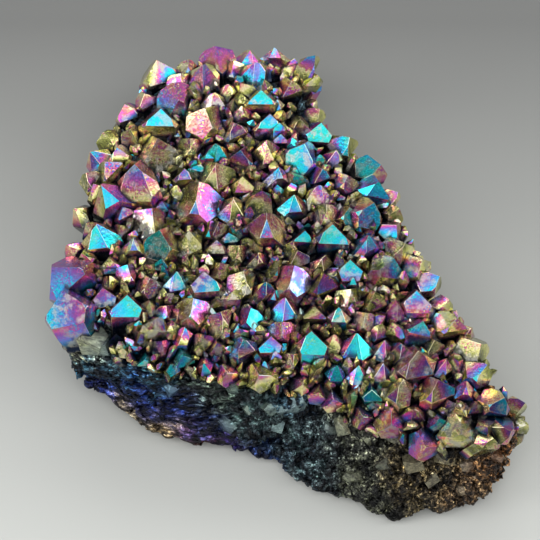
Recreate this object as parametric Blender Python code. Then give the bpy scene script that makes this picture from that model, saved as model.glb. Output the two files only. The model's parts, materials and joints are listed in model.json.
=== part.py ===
"""Aura amethyst cluster: quartz crystals grown together on a broken slab of stone.

The cluster is one solid. Its frame has +Z up out of the crystal crust, and its
origin is the middle of the flat face that it rests on. Every length below is in
millimetres until it becomes a mesh.
"""
import math
import random

import bmesh
import bpy
from mathutils import Matrix, Vector, noise

MM = 0.001                      # metres in one millimetre

# Stone slab
CRUST_TOP = 28.5                # height of the crust's floor, away from the edges
EDGE_DROP = 4.5                 # how much lower the floor is at the slab's edge
EDGE_ROUND = 6.0                # how far in from the edge that drop reaches
SWELL = 2.2                     # height of the crust floor's long low waves
SWELL_LENGTHS = (17.0, 21.0)    # and their lengths along x and y, each for one radian
RIM_LIFT = 2.6                  # underside's outer rim above the resting face
TIP_LIFT = 5.0                  # further lift of the rim under the left tip
TIP_FROM, TIP_RUN = -50.0, 12.0  # x where that lift begins, and the length that it builds up over
FOOT_SCALE = 0.84               # resting face, as a part of the rim's outline
WALL_STEPS = 5                  # bands of faces from the rim up to the edge
WALL_BULGE = 1.4                # the wall stands proud of a straight slope
WALL_ROUGH = 3.6                # lumps and hollows of the broken wall
LUMP_SIZES = (8.5, 3.6)         # length of its large lumps, and of the small ones on them
SMALL_LUMPS = 0.5               # the small lumps' height, as a part of the large ones'
LUMPS_FLAT = (1.4, 1.8)         # how much lower than wide the large and the small lumps are
RIM_ROUGH = 0.5                 # roughness left at the rim
FLOOR_RINGS = (0.72, 0.36)      # rings of the crust's floor, as parts of its outline
MIDDLE = Vector((-3.0, -8.0))   # centre that the outlines shrink towards

# Quartz crystals
FACE_SLOPE = math.radians(51.8)  # between a sloping end face's normal and the long axis
SHOULDER_TO_TIP = 1.10          # height of an even end, in outer radii
MAIN_FACE = (-0.18, 0.08)       # how far a crystal's large end faces stand back, in outer radii
SIDE_FACE = (0.14, 0.48)        # how far the small ones between them stand back
EVEN_ENDS = 0.30                # share of crystals with six large faces; the others have three
CROWDING = 1.30                 # crystals grow this much wider than they show, into each other
SINKING = 0.30                  # and their shoulders sink into the crust by this many radii
BROAD_WALL = (0.50, 0.80)       # distance of a crystal's broadest wall, as a part of an even one's
OTHER_WALLS = (0.78, 1.0)       # and of its five other walls
MEAN_TURN = 15.0                # degrees from a crystal's edge at which its width is a mean one
STEM = 9.0                      # length of a crystal below its shoulder
STEM_TAPER = 0.86               # width at the root, as a part of the shoulder's
TRIMMED = 1.6                   # blank over the shoulder that the end faces are cut from, in radii
SEED = 41

# Outlines, anticlockwise from the left tip: slab's upper edge (x, y), then its rim below (x, y).
# The first FRONT_COUNT rows are the broken front wall, bare of crystals.
FRONT_COUNT = 17
OUTLINE = (
    (-69, -12, -61, -11), (-68, -20, -61.5, -27.5), (-58, -22.5, -54, -32),
    (-48, -28, -46, -39), (-38, -31, -37, -44), (-28, -33, -28, -46.5),
    (-17, -34, -18.5, -48.5), (-7, -37, -10, -51), (2, -38, -3, -51.5),
    (9, -39.5, 2, -57), (16, -44, 10, -62), (25, -48.5, 21, -66.5),
    (35, -53, 33, -71), (46, -56, 45, -68.5), (57, -55, 56, -66),
    (66, -52, 64, -60), (68.5, -46, 61, -48), (61.5, -37, 51, -38),
    (56, -27, 45, -27), (51.5, -18, 40, -17), (44, -8, 33, -6),
    (39, 3, 28, 4), (33, 15, 22, 15), (27, 28, 16, 27),
    (18, 39, 8, 37), (9, 48, 0, 45), (6, 58, -3, 53),
    (4, 67, -7, 58), (-10, 69.5, -15, 60), (-22, 69, -24, 59),
    (-34, 66.5, -32, 56), (-42, 61, -37, 51), (-48, 51, -40, 44),
    (-54, 40, -44, 35), (-60, 29, -49, 25), (-60, 17, -49, 15),
    (-63, 8, -52, 6), (-68, -2, -57, -1),
)

# Lumps and hollows of the front wall: x, height, reach, depth (a hollow is negative).
WALL_FORMS = (
    (-60, 17, 7, 1.6), (-50, 20, 5, -2.2), (-40, 10, 8, 1.4), (-30, 17, 5, -2.0),
    (-24, 21, 5, 1.8), (-16, 14, 5, -2.4), (-9, 21, 5, 1.4), (-3, 9, 5, -2.4),
    (1, 20, 6, 2.6), (10, 12, 6, -1.6), (18, 19, 5, 1.8), (26, 11, 7, 2.0),
    (34, 20, 5, -2.2), (43, 9, 7, 1.6), (50, 18, 5, -2.2), (61, 15, 6, 2.0),
)

# Large crystals: x, y, width, rise of the shoulder over the crust, lean east, lean north, ridge.
CRYSTALS = (
    # left shoulder of the slab, top to bottom
    (-39.2, 66.9, 11, 2.5, -8, 28, 20), (-30.7, 68.9, 6.5, 2.5, 0, 34, 60),
    (-33.2, 63, 7.5, 2, 5, 18, 70), (-33.8, 55.6, 11, 4, -14, 25, 80),
    (-43.4, 57, 7, 2, -10, 14, 30), (-48.7, 54.1, 8, 2, -18, 18, 10),
    (-54, 44.9, 7.5, 3, -30, 20, 100), (-47.3, 44.7, 7, 2, -5, 9, 90),
    (-39.2, 47.4, 11, 3.5, 2, 20, 0), (-57.1, 38.2, 9.5, 3, -32, 16, 60),
    (-39.8, 37.1, 13.5, 2.5, 4, 19, 25), (-44, 27, 14, 4.5, -12, 19, 110),
    (-31.7, 29.7, 8, 2.5, 4, 23, 10), (-52, 22.6, 14.5, 3.5, -28, 21, 20),
    (-62.2, 20.8, 7.5, 2, -36, 14, 90), (-56.4, 9.5, 11, 3.5, -12, 20, 0),
    (-64.3, 7.6, 6.5, 2, -34, 10, 45), (-41.3, 15.1, 11.5, 3, 3, 15, 70),
    (-48.9, 18, 6, 3, -8, 15, 30), (-38, 20.4, 6, 2.5, 0, 13, 20), (-46.2, 6.4, 8.5, 3, -4, 20, 0),
    (-36.8, 7, 12, 4, -6, 21, 95), (-29.2, 7.4, 9.5, 4.5, -6, 23, 90),
    (-53.5, 0.8, 6.5, 2, -8, 17, 0), (-64.1, -4.2, 15, 3.5, -34, 8, 30),
    (-53.5, -5.2, 6, 2, 0, 15, 60), (-64.5, -14.5, 15, 3.5, -22, 24, 0),
    (-48, -2.5, 7.5, 2.5, 0, 21, 80), (-41.3, -6.2, 8, 2.5, 4, 13, 30),
    (-55, -10.1, 8, 2.5, -4, 21, 10), (-48, -14.8, 11, 3.5, 0, 22, 0),
    (-41.3, -13.1, 6.5, 2, 4, 15, 50), (-36.2, -14.5, 6.5, 2, 2, 15, 70),
    (-33.5, -5.5, 8.5, 3, 0, 25, 15), (-28.3, -15.1, 10, 4, 4, 20, 170),
    (-59.1, 13.8, 6.5, 2, -26, 14, 30), (-50.1, 12.7, 6, 1.5, -6, 15, 45),
    (-60.6, 3.6, 6.5, 2, -24, 8, 0),
    # far end
    (-21.1, 70.3, 11.5, 3, -6, 30, 60), (-11.7, 73, 9, 3, 4, 32, 100),
    (-25.3, 64.8, 10.5, 3, -2, 16, 90), (-9.2, 66, 10.5, 3.5, -2, 12, 80),
    (-18, 59.1, 7, 2, -4, 19, 45), (-8, 55.4, 10.5, 3.5, 0, 15, 0),
    (1.4, 71.3, 8.5, 2.5, 12, 30, 120), (7.5, 65.4, 7, 2, 26, 24, 45), (0.9, 61.6, 8, 2, 8, 14, 30),
    (-16.3, 68, 7, 2, 0, 22, 45), (-22.6, 55.5, 8, 2, 0, 17, 20), (-3, 54.6, 6, 2, 6, 17, 60),
    (-13.8, 51.2, 7.5, 2, 0, 17, 10), (-5.6, 46.6, 9, 3.5, 2, 27, 0),
    (-24.7, 47.6, 11.5, 3, 0, 19, 85), (-15.6, 44.6, 8, 2.5, -3, 15, 30),
    (-6.2, 38.3, 9, 3, 0, 17, 70), (4, 48.6, 7.5, 2, 8, 10, 0), (8.2, 54, 7, 2, 24, 18, 60),
    (9.4, 45.5, 9, 3, 14, 18, 5), (-21.3, 38.3, 8, 2.5, 0, 13, 20),
    (-13.2, 35.8, 7.5, 3, -10, 15, 100), (-29.2, 40.4, 7.5, 2, 2, 17, 60),
    (-21.6, 29.7, 11, 3, 2, 19, 40), (-2.6, 28.6, 8.5, 3, 2, 23, 10), (5, 35.8, 11, 4, 6, 15, 95),
    (9.9, 29.6, 7, 2, 10, 15, 30), (-13, 26.9, 7.5, 2, 0, 17, 0), (-1.6, 42.5, 6, 2, 4, 17, 0),
    # right edge, upper half
    (17, 42.7, 9.5, 3.5, 24, 16, 60), (14.3, 37.2, 7.5, 2, 12, 14, 45),
    (24.9, 34.7, 10, 3.5, 38, 6, 150), (18, 27.2, 7.5, 2, 10, 17, 30),
    (25.9, 25.4, 10, 3, 22, 14, 0), (31.9, 26.3, 6.5, 2, 34, 14, 60),
    (23.4, 17, 10, 4, 30, 17, 125), (31.9, 18.9, 7, 2, 34, 12, 0),
    (31.1, 12.2, 7.5, 2.5, 26, 8, 80), (33.2, 5.5, 8.5, 3, 24, 6, 45),
    (13.8, 7.4, 10.5, 4, 4, 20, 0), (23.8, 5.1, 9, 3, 6, 21, 35), (38.2, 0.7, 10, 3, 20, 10, 50),
    (42.5, -4.3, 8, 4, 38, 12, 55), (18.6, 15.1, 7, 2.5, 8, 23, 140),
    (12.2, 15.8, 8.5, 2, 2, 17, 60), (19.4, -2.6, 8.5, 3, 0, 20, 0),
    (29.2, -3.2, 10.5, 4, 30, 23, 15), (38.7, -13.4, 10, 4, 2, 26, 0),
    (46.4, -10.7, 6.5, 2, 34, 14, 30), (32.4, -15, 7.5, 2.5, 0, 23, 90),
    (48.2, -19.2, 10.5, 3.5, 22, 12, 20), (54.7, -27.1, 11, 3.5, 26, 4, 60),
    (39, -22.7, 8.5, 4, 24, 27, 0), (53.8, -19.1, 6.5, 2, 32, 12, 60),
    # middle
    (-26.6, 20.8, 13.5, 4.5, 0, 25, 170), (-16.8, 19.2, 9, 3, 2, 17, 80),
    (-7.4, 20.4, 9.5, 3.5, -2, 19, 95), (-5.6, 11.4, 12, 4.5, 0, 22, 0),
    (2.2, 18.4, 9, 3, 4, 23, 10), (9.6, 22.4, 9, 3, 6, 17, 45), (4.9, 7.8, 7, 2.5, 6, 25, 0),
    (3.4, 1.2, 7.5, 2, 2, 15, 30), (-21.2, 6.4, 7, 2, 0, 17, 0), (-14.8, 4.6, 7, 2, 2, 15, 60),
    (-20.4, 12.4, 7, 2, 0, 17, 30), (-20.2, -1.2, 7.5, 2.5, -2, 15, 45),
    (-13.4, -6, 9.5, 3.5, 2, 19, 80), (-24.4, -6.9, 9.5, 4, -2, 27, 5),
    (-8.4, 1.4, 7.5, 2, 0, 15, 20), (-6.4, -9, 7.5, 3, 4, 21, 30), (1.9, -6.4, 11, 4, 2, 27, 165),
    (11.2, -7.9, 8.5, 3, 2, 21, 30), (-0.6, -14.9, 9.5, 3, 0, 21, 20),
    (-10.7, -18, 8, 3, 0, 27, 160), (-1.4, -21.8, 8, 3, 0, 15, 60),
    (-19.6, -18.6, 8.5, 3, -4, 15, 80), (15.4, -17.6, 7, 3, 2, 27, 0), (8.2, -16.2, 8, 2, 2, 15, 0),
    (18.8, -10.8, 8, 2, 2, 15, 70), (26.2, -11.6, 7.5, 2, 4, 15, 30),
    (23.2, -18.2, 8, 2.5, 0, 13, 50), (11, 0, 8, 2, 4, 13, 45),
    # front edge and lower right
    (7.6, -26, 9.5, 3.5, 2, 25, 120), (-5, -26.4, 7.5, 3, -2, 21, 0),
    (-12.8, -26.8, 8.5, 3, -2, 11, 30), (-7.6, -34.4, 9.5, 2.5, -4, -14, 30),
    (1.6, -30, 6.5, 2, 4, 3, 60), (-17.5, -33.4, 7, 2, -2, -16, 30), (-24.4, -31, 6, 2, -6, -8, 70),
    (-31, -29.4, 6.5, 2, -2, -4, 20), (-37.4, -25.4, 6, 1.5, -2, 5, 70),
    (-43.6, -22.6, 5.5, 1.5, -4, 9, 30), (-42.4, -28.6, 5, 1, -4, -14, 0),
    (-30.4, -22.8, 7.5, 2.5, 0, 23, 60), (-25, -24, 6.5, 2, 0, 13, 45),
    (20.6, -27, 8.5, 3.5, 2, 27, 165), (28.8, -27.2, 7, 2.5, 4, 23, 100),
    (33.8, -27.6, 7.5, 2.5, 4, 13, 20), (38.6, -33, 11, 4, 4, 13, 15),
    (14.8, -33.9, 6.5, 2.5, 2, 13, 120), (21.2, -35, 6.5, 2.5, 2, 25, 130),
    (28.4, -34.2, 7, 3, 2, 23, 100), (25.4, -40.9, 6.5, 2, 0, 7, 0),
    (33.8, -40.6, 9.5, 3.5, 4, 17, 80), (31, -48.6, 10, 2.5, -2, -24, 0),
    (56, -35.1, 8.5, 4, 36, 14, 150), (52.6, -41.2, 7, 3, 10, 27, 0), (61.5, -44.6, 9, 3, 28, 6, 0),
    (51, -52.6, 11, 2.5, 4, -26, 0), (58.9, -51.2, 6.5, 2, 8, -18, 70),
    (44.4, -42, 10.5, 3.5, 4, 21, 30), (37.9, -46.7, 7.5, 2, 0, -3, 15),
    (22.6, -46.2, 7, 1.5, -2, -18, 30), (14, -41, 7, 1.5, -6, -14, 130),
    (41, -54.6, 9.5, 1.5, 0, -30, 30), (45, -49.8, 6, 2, 2, -1, 20),
    (63.8, -52.2, 8, 2, 26, -18, 60), (4.6, -36.2, 6.5, 2, 4, -14, 90),
    (9.4, -38.9, 6, 1.5, 2, -16, 110), (46.8, -33, 7, 2, 8, 21, 40), (43.6, -26.4, 7, 2, 6, 15, 30),
    (49, -26.6, 6.5, 2, 12, 15, 0), (-50.8, -21.6, 6, -1.5, -6, 4, 0),
    (-20.6, -26, 6, 1.5, -2, 5, 20), (14.6, -25, 7, 2, 2, 21, 60), (27.6, -21.8, 7, 2, 2, 21, 20),
    # in the widest gaps along the left edge
    (-58.8, 30.2, 8.5, 3, -26, 16, 60), (-56.8, 25.6, 7.5, 3, -24, 16, 20),
    (-53.6, 32.2, 8, 3.5, -18, 18, 50), (-50.6, 37.6, 7, 3, -16, 20, 0),
)

# Triangles that the finished solid keeps, as a part of what the union leaves
KEEP_FACES = 0.77

# Smaller crystals between the large ones, and the skirt of crystals under the slab's edge
FILL_COUNT = 34
FILL_TRIES = 6000               # places tried by chance until that many fit
FILL_WIDTHS = (5.5, 7.5)
FILL_SPACING = 0.56             # distance between neighbours, in mean widths
FILL_RISE = 1.5                 # their shoulders over the crust
FILL_SPREAD = 34.0              # degrees that they lean outwards at the slab's edge
FILL_REACH = 5.0                # how far in from the edge that lean reaches
FILL_UNEVEN = 9.0               # degrees that each leans further, by chance
FILL_AREA = ((-70, 70), (-60, 68))      # x and y
BACKWARD = 20.0                 # degrees that they lean back, away from the broken front
SKIRT_STEP = 9.0                # along the slab's edge
SKIRT_WIDTHS = (7.5, 10.5)
SKIRT_LEAN = (54.0, 74.0)       # degrees from upright
SKIRT_HEIGHT = 0.62             # part of the way from the rim up to the edge
SKIRT_PROUD = 1.0               # further out than the wall there
SKIRT_SWAY = 0.35               # sideways lean, as a part of the outward one
SKIRT_UNEVEN = 2.0              # up or down by chance
SKIRT_PACES = (0.85, 1.15)      # uneven steps along the edge


def clear_scene():
    for thing in list(bpy.data.objects):
        bpy.data.objects.remove(thing, do_unlink=True)


def material(name, colour, roughness, metallic):
    """A plain Principled material."""
    made = bpy.data.materials.new(name)
    made.use_nodes = True
    shader = made.node_tree.nodes["Principled BSDF"]
    shader.inputs["Base Color"].default_value = (*colour, 1)
    shader.inputs["Roughness"].default_value = roughness
    shader.inputs["Metallic"].default_value = metallic
    made.diffuse_color = (*colour, 1)
    return made


def mesh_object(name, bm, materials):
    mesh = bpy.data.meshes.new(name)
    bm.to_mesh(mesh)
    bm.free()
    for one in materials:
        mesh.materials.append(one)
    made = bpy.data.objects.new(name, mesh)
    bpy.context.scene.collection.objects.link(made)
    return made


# ---------------------------------------------------------------- stone slab

def edge_distance(x, y):
    """Distance in from the slab's upper edge; negative outside it. With it, the way outwards."""
    here = Vector((x, y))
    nearest, way, inside = 1e9, Vector((0, 0)), False
    for row, following in zip(OUTLINE, OUTLINE[1:] + OUTLINE[:1]):
        start, end = Vector(row[:2]), Vector(following[:2])
        run = end - start
        along = max(0.0, min(1.0, (here - start).dot(run) / run.length_squared))
        apart = (here - start - run * along).length
        if apart < nearest:
            nearest, way = apart, Vector((run.y, -run.x)).normalized()
        if (start.y > y) != (end.y > y):
            if x < start.x + (y - start.y) / (end.y - start.y) * run.x:
                inside = not inside
    return (nearest if inside else -nearest), way


def crust_height(x, y):
    """Height of the crust's floor, which the crystals grow from."""
    inward, _ = edge_distance(x, y)
    waves = SWELL * math.sin(x / SWELL_LENGTHS[0] + 0.6) * math.cos(y / SWELL_LENGTHS[1] - 0.4)
    if inward < 0:
        return CRUST_TOP - EDGE_DROP + waves + inward
    return CRUST_TOP - EDGE_DROP * math.exp(-inward / EDGE_ROUND) + waves


def rim_height(x):
    """Height of the underside's rim: it sweeps up under the left tip."""
    reach = max(0.0, min(1.0, (TIP_FROM - x) / TIP_RUN))
    return RIM_LIFT + TIP_LIFT * reach * reach


def wall_relief(x, y, z):
    """How far the broken wall stands out at a place."""
    rough = 0.0
    for size, flat, share in zip(LUMP_SIZES, LUMPS_FLAT, (1.0, SMALL_LUMPS)):
        rough += WALL_ROUGH * share * noise.noise(Vector((x, y, z * flat)) / size)
    for form_x, form_z, reach, depth in WALL_FORMS:
        apart = math.hypot(x - form_x, z - form_z) / reach
        if y < 0 and apart < 1:
            rough += depth * (1 - apart * apart) ** 2
    return rough


def outline_points():
    """The outline's rows, with a further point between those of the front wall."""
    rows = []
    for i, row in enumerate(OUTLINE):
        rows.append(Vector(row))
        if i < FRONT_COUNT - 1:
            rows.append((Vector(row) + Vector(OUTLINE[i + 1])) / 2)
    return rows


def draw_up(bm, ring, places):
    """Extrudes a ring's edges once, puts the new ring at its places and returns it."""
    edges = [bm.edges.get((ring[i - 1], ring[i])) for i in range(len(ring))]
    grown = set(bmesh.ops.extrude_edge_only(bm, edges=edges)["geom"])
    fresh = []
    for old, place in zip(ring, places):
        vert = next(e.other_vert(old) for e in old.link_edges if e.other_vert(old) in grown)
        vert.co = place
        fresh.append(vert)
    return fresh


def stone_slab():
    """The slab, drawn up from its resting face ring by ring and closed over the crust's floor."""
    rows = outline_points()
    bm = bmesh.new()
    ring = []
    for row in rows:
        foot = MIDDLE + (Vector(row[2:]) - MIDDLE) * FOOT_SCALE
        ring.append(bm.verts.new((foot.x, foot.y, 0)))
    bm.faces.new(ring)
    for step in range(WALL_STEPS + 1):
        part = step / WALL_STEPS
        places = []
        for i, row in enumerate(rows):
            brow, rim = Vector(row[:2]), Vector(row[2:])
            before, after = rows[i - 1], rows[(i + 1) % len(rows)]
            run = Vector(after[:2]) - Vector(before[:2])
            outward = Vector((run.y, -run.x)).normalized()
            plan = rim.lerp(brow, part)
            low, high = rim_height(rim.x), crust_height(brow.x, brow.y)
            z = low + (high - low) * part
            proud = WALL_BULGE * math.sin(math.pi * part)
            proud += wall_relief(plan.x, plan.y, z) * (1 if step else RIM_ROUGH)
            plan += outward * proud
            places.append((plan.x, plan.y, z))
        ring = draw_up(bm, ring, places)
    for scale in FLOOR_RINGS:
        places = []
        for row in rows:
            plan = MIDDLE + (Vector(row[:2]) - MIDDLE) * scale
            places.append((plan.x, plan.y, crust_height(plan.x, plan.y)))
        ring = draw_up(bm, ring, places)
    bmesh.ops.contextual_create(bm, geom=[bm.edges.get((ring[i - 1], ring[i]))
                                          for i in range(len(ring))])
    bmesh.ops.triangulate(bm, faces=bm.faces[:])
    bmesh.ops.recalc_face_normals(bm, faces=bm.faces[:])
    return bm


# ------------------------------------------------------------------ crystals

def outer_radius(width):
    """A crystal's radius over its edges, from the width that it shows."""
    return CROWDING * width / 2 / math.cos(math.radians(MEAN_TURN))


def cut_off(bm, place, way):
    """Cuts off what lies beyond a plane, and closes the cut with one flat face."""
    cut = bmesh.ops.bisect_plane(bm, geom=bm.verts[:] + bm.edges[:] + bm.faces[:],
                                 plane_co=place, plane_no=way, clear_outer=True, dist=1e-5)
    rim = [e for e in cut["geom_cut"] if isinstance(e, bmesh.types.BMEdge)]
    if rim:
        bmesh.ops.contextual_create(bm, geom=rim)


def crystal(radius, stem, shape):
    """One crystal along +Z with its shoulder at zero: six walls and six sloping end faces."""
    tall = stem + TRIMMED * radius
    bm = bmesh.new()
    bmesh.ops.create_cone(bm, cap_ends=True, segments=6, radius1=radius * STEM_TAPER,
                          radius2=radius * (1 + (1 - STEM_TAPER) * TRIMMED * radius / stem), depth=tall)
    bmesh.ops.translate(bm, verts=bm.verts[:], vec=(0, 0, tall / 2 - stem))
    even = shape.random() < EVEN_ENDS
    for i in range(6):
        turn = math.radians(60 * i)
        tip = SHOULDER_TO_TIP + shape.uniform(*(MAIN_FACE if even or i % 2 == 0 else SIDE_FACE))
        cut_off(bm, (0, 0, tip * radius), (math.sin(FACE_SLOPE) * math.cos(turn),
                                           math.sin(FACE_SLOPE) * math.sin(turn), math.cos(FACE_SLOPE)))
    for i in range(6):
        way = Vector((math.cos(math.radians(60 * i)), math.sin(math.radians(60 * i)), 0))
        near = shape.uniform(*(OTHER_WALLS if i else BROAD_WALL))
        cut_off(bm, way * near * radius * math.cos(math.radians(30)), way)
    return bm


def placed(bm, x, y, z, lean_east, lean_north, ridge):
    """Turns a crystal so that its ridge runs along ridge, leans it, and moves it into place."""
    axis = Vector((math.tan(math.radians(lean_east)), math.tan(math.radians(lean_north)), 1))
    turn = Vector((0, 0, 1)).rotation_difference(axis.normalized()).to_matrix().to_4x4()
    turn = turn @ Matrix.Rotation(math.radians(ridge - 90), 4, "Z")
    bmesh.ops.transform(bm, matrix=Matrix.Translation((x, y, z)) @ turn, verts=bm.verts[:])
    return bm


def skirt_crystals():
    """Crystals that hang out under the slab's edge, everywhere but on the broken front."""
    chance = random.Random(SEED)
    found = []
    rows = OUTLINE[FRONT_COUNT - 1:] + OUTLINE[:1]
    spare = 0.0
    for row, following in zip(rows, rows[1:]):
        start, end = Vector(row), Vector(following)
        run = end - start
        length = Vector(run[:2]).length
        outward = Vector((run.y, -run.x)).normalized()
        at = spare
        while at < length:
            place = start + run * (at / length)
            plan = Vector(place[2:]).lerp(Vector(place[:2]), SKIRT_HEIGHT) + outward * SKIRT_PROUD
            low = rim_height(place[2])
            z = low + (crust_height(place[0], place[1]) - low) * SKIRT_HEIGHT
            lean = math.radians(chance.uniform(*SKIRT_LEAN))
            sway = chance.uniform(-SKIRT_SWAY, SKIRT_SWAY)
            way = Vector((outward.x - sway * outward.y, outward.y + sway * outward.x)).normalized()
            found.append((plan.x, plan.y, z + chance.uniform(-SKIRT_UNEVEN, SKIRT_UNEVEN),
                          chance.uniform(*SKIRT_WIDTHS),
                          math.degrees(math.atan(math.tan(lean) * way.x)),
                          math.degrees(math.atan(math.tan(lean) * way.y)),
                          chance.uniform(0, 180)))
            at += SKIRT_STEP * chance.uniform(*SKIRT_PACES)
        spare = at - length
    return found


def fill_crystals(taken):
    """Crystals for the widest gaps between the large ones."""
    chance = random.Random(SEED + 1)
    found = []
    for _ in range(FILL_TRIES):
        if len(found) == FILL_COUNT:
            break
        x, y = chance.uniform(*FILL_AREA[0]), chance.uniform(*FILL_AREA[1])
        width = chance.uniform(*FILL_WIDTHS)
        inward, way = edge_distance(x, y)
        close = any(math.hypot(x - one[0], y - one[1]) < FILL_SPACING * (width + one[3])
                    for one in taken + found)
        if inward < 0 or close:
            continue
        spread = FILL_SPREAD * math.exp(-inward / FILL_REACH)
        found.append((x, y, crust_height(x, y) + FILL_RISE, width,
                      way.x * spread + chance.uniform(-FILL_UNEVEN, FILL_UNEVEN),
                      way.y * spread + BACKWARD + chance.uniform(-FILL_UNEVEN, FILL_UNEVEN),
                      chance.uniform(0, 180)))
    return found


def all_crystals():
    """Every crystal as x, y, z, width, lean east, lean north, ridge."""
    large = [(x, y, crust_height(x, y) + rise, width, east, north, ridge)
             for x, y, width, rise, east, north, ridge in CRYSTALS]
    return large + skirt_crystals() + fill_crystals(large)


def outer_shell(mesh):
    """Deletes the walls of the small pockets that crystals close off between them."""
    bm = bmesh.new()
    bm.from_mesh(mesh)
    left = set(bm.verts)
    shells = []
    while left:
        shell, edge_of = set(), [left.pop()]
        while edge_of:
            vert = edge_of.pop()
            shell.add(vert)
            for edge in vert.link_edges:
                other = edge.other_vert(vert)
                if other in left:
                    left.remove(other)
                    edge_of.append(other)
        shells.append(shell)
    outer = max(shells, key=len)
    pockets = [vert for shell in shells if shell is not outer for vert in shell]
    bmesh.ops.delete(bm, geom=pockets, context="VERTS")
    bm.to_mesh(mesh)
    bm.free()


def amethyst_cluster():
    """Stone and crystals grown together into one solid."""
    stone = material("matrix_stone", (0.20, 0.21, 0.20), 0.75, 0.1)
    coating = material("aura_coated_quartz", (0.36, 0.20, 0.42), 0.2, 0.9)
    cluster = mesh_object("amethyst_cluster", stone_slab(), (stone, coating))
    grown = bpy.data.collections.new("crystals")
    bpy.context.scene.collection.children.link(grown)
    for i, (x, y, z, width, east, north, ridge) in enumerate(all_crystals()):
        radius = outer_radius(width)
        bm = placed(crystal(radius, STEM, random.Random(SEED * 100 + i)),
                    x, y, z - SINKING * radius, east, north, ridge)
        for face in bm.faces:
            face.material_index = 1
        one = mesh_object(f"crystal_{i}", bm, (stone, coating))
        bpy.context.scene.collection.objects.unlink(one)
        grown.objects.link(one)
    join = cluster.modifiers.new("grown together", "BOOLEAN")
    join.operation = "UNION"
    join.operand_type = "COLLECTION"
    join.collection = grown
    join.solver = "EXACT"
    joined = cluster.evaluated_get(bpy.context.evaluated_depsgraph_get())
    mesh = bpy.data.meshes.new_from_object(joined)
    cluster.modifiers.clear()
    outer_shell(mesh)
    thin = cluster.modifiers.new("slivers taken out", "DECIMATE")
    thin.ratio = KEEP_FACES
    cluster.data = mesh
    for one in list(grown.objects):
        bpy.data.objects.remove(one, do_unlink=True)
    bpy.data.collections.remove(grown)
    mesh.transform(Matrix.Scale(MM, 4))
    return cluster


clear_scene()
amethyst_cluster()
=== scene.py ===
import json
import math
import random

import bmesh
import bpy
import numpy as np
from mathutils import Euler, Matrix, Vector, noise

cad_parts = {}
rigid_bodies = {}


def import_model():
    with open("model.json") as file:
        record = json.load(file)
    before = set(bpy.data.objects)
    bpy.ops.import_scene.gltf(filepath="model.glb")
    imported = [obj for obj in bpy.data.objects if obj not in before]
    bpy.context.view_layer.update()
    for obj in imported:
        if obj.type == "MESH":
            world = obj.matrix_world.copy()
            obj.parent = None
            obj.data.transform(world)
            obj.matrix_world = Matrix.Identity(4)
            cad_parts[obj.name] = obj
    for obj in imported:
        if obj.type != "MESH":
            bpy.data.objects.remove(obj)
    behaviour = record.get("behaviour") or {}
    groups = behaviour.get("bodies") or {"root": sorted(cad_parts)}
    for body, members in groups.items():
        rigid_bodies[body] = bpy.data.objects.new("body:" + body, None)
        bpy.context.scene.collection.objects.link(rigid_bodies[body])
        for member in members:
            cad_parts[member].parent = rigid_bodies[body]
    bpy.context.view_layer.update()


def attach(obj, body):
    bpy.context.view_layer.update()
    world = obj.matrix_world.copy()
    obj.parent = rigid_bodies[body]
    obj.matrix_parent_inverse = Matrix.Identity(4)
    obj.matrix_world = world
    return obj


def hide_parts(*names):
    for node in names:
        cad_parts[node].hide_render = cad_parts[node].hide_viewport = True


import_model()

# ------------------------------------------------------------------ camera, floor and light
# The cluster lies on its flat underside on a pale floor, and the camera looks down on it from
# the side of the broken stone. A wide soft light behind it and one above it do the work.

MM = 0.001                               # metres in one millimetre
view_height = math.radians(66)           # camera's elevation
view_distance = 1.0
view_width = 0.1636                      # what the view spans at the aim
sensor_width = 36
aim = Vector((-0.005, 0.0, 0.028))
towards_camera = Vector((0, -math.cos(view_height), math.sin(view_height)))

camera_data = bpy.data.cameras.new("camera")
camera_data.sensor_width = sensor_width
camera_data.lens = sensor_width * view_distance / view_width
camera = bpy.data.objects.new("camera", camera_data)
camera.location = aim + towards_camera * view_distance
camera.rotation_euler = towards_camera.to_track_quat("Z", "Y").to_euler()
bpy.context.scene.collection.objects.link(camera)
bpy.context.scene.camera = camera


def feed(tree, socket, value):
    """Gives a socket another node's output, a colour or a number."""
    if isinstance(value, bpy.types.NodeSocket):
        tree.links.new(value, socket)
    else:
        socket.default_value = (*value, 1) if isinstance(value, tuple) else value


def carry(tree, value, low, high, least=0.0, most=1.0, eased=False):
    """Carries a value that runs from low to high over to least to most."""
    node = tree.nodes.new("ShaderNodeMapRange")
    node.interpolation_type = "SMOOTHSTEP" if eased else "LINEAR"
    numbers = (value, low, high, least, most)
    for name, number in zip(("Value", "From Min", "From Max", "To Min", "To Max"), numbers):
        feed(tree, node.inputs[name], number)
    return node.outputs["Result"]


def ramp(tree, value, *stops):
    """Colours along a value from 0 to 1, from the stops' places and colours."""
    node = tree.nodes.new("ShaderNodeValToRGB")
    elements = node.color_ramp.elements
    while len(elements) < len(stops):
        elements.new(0.5)
    for element, (place, colour) in zip(elements, stops):
        element.position = place
        element.color = (*colour, 1)
    feed(tree, node.inputs["Fac"], value)
    return node.outputs["Color"]


def new_finish(name):
    """A new material, its node tree and its shader."""
    material = bpy.data.materials.new(name)
    material.use_nodes = True
    return material, material.node_tree, material.node_tree.nodes["Principled BSDF"]


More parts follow.
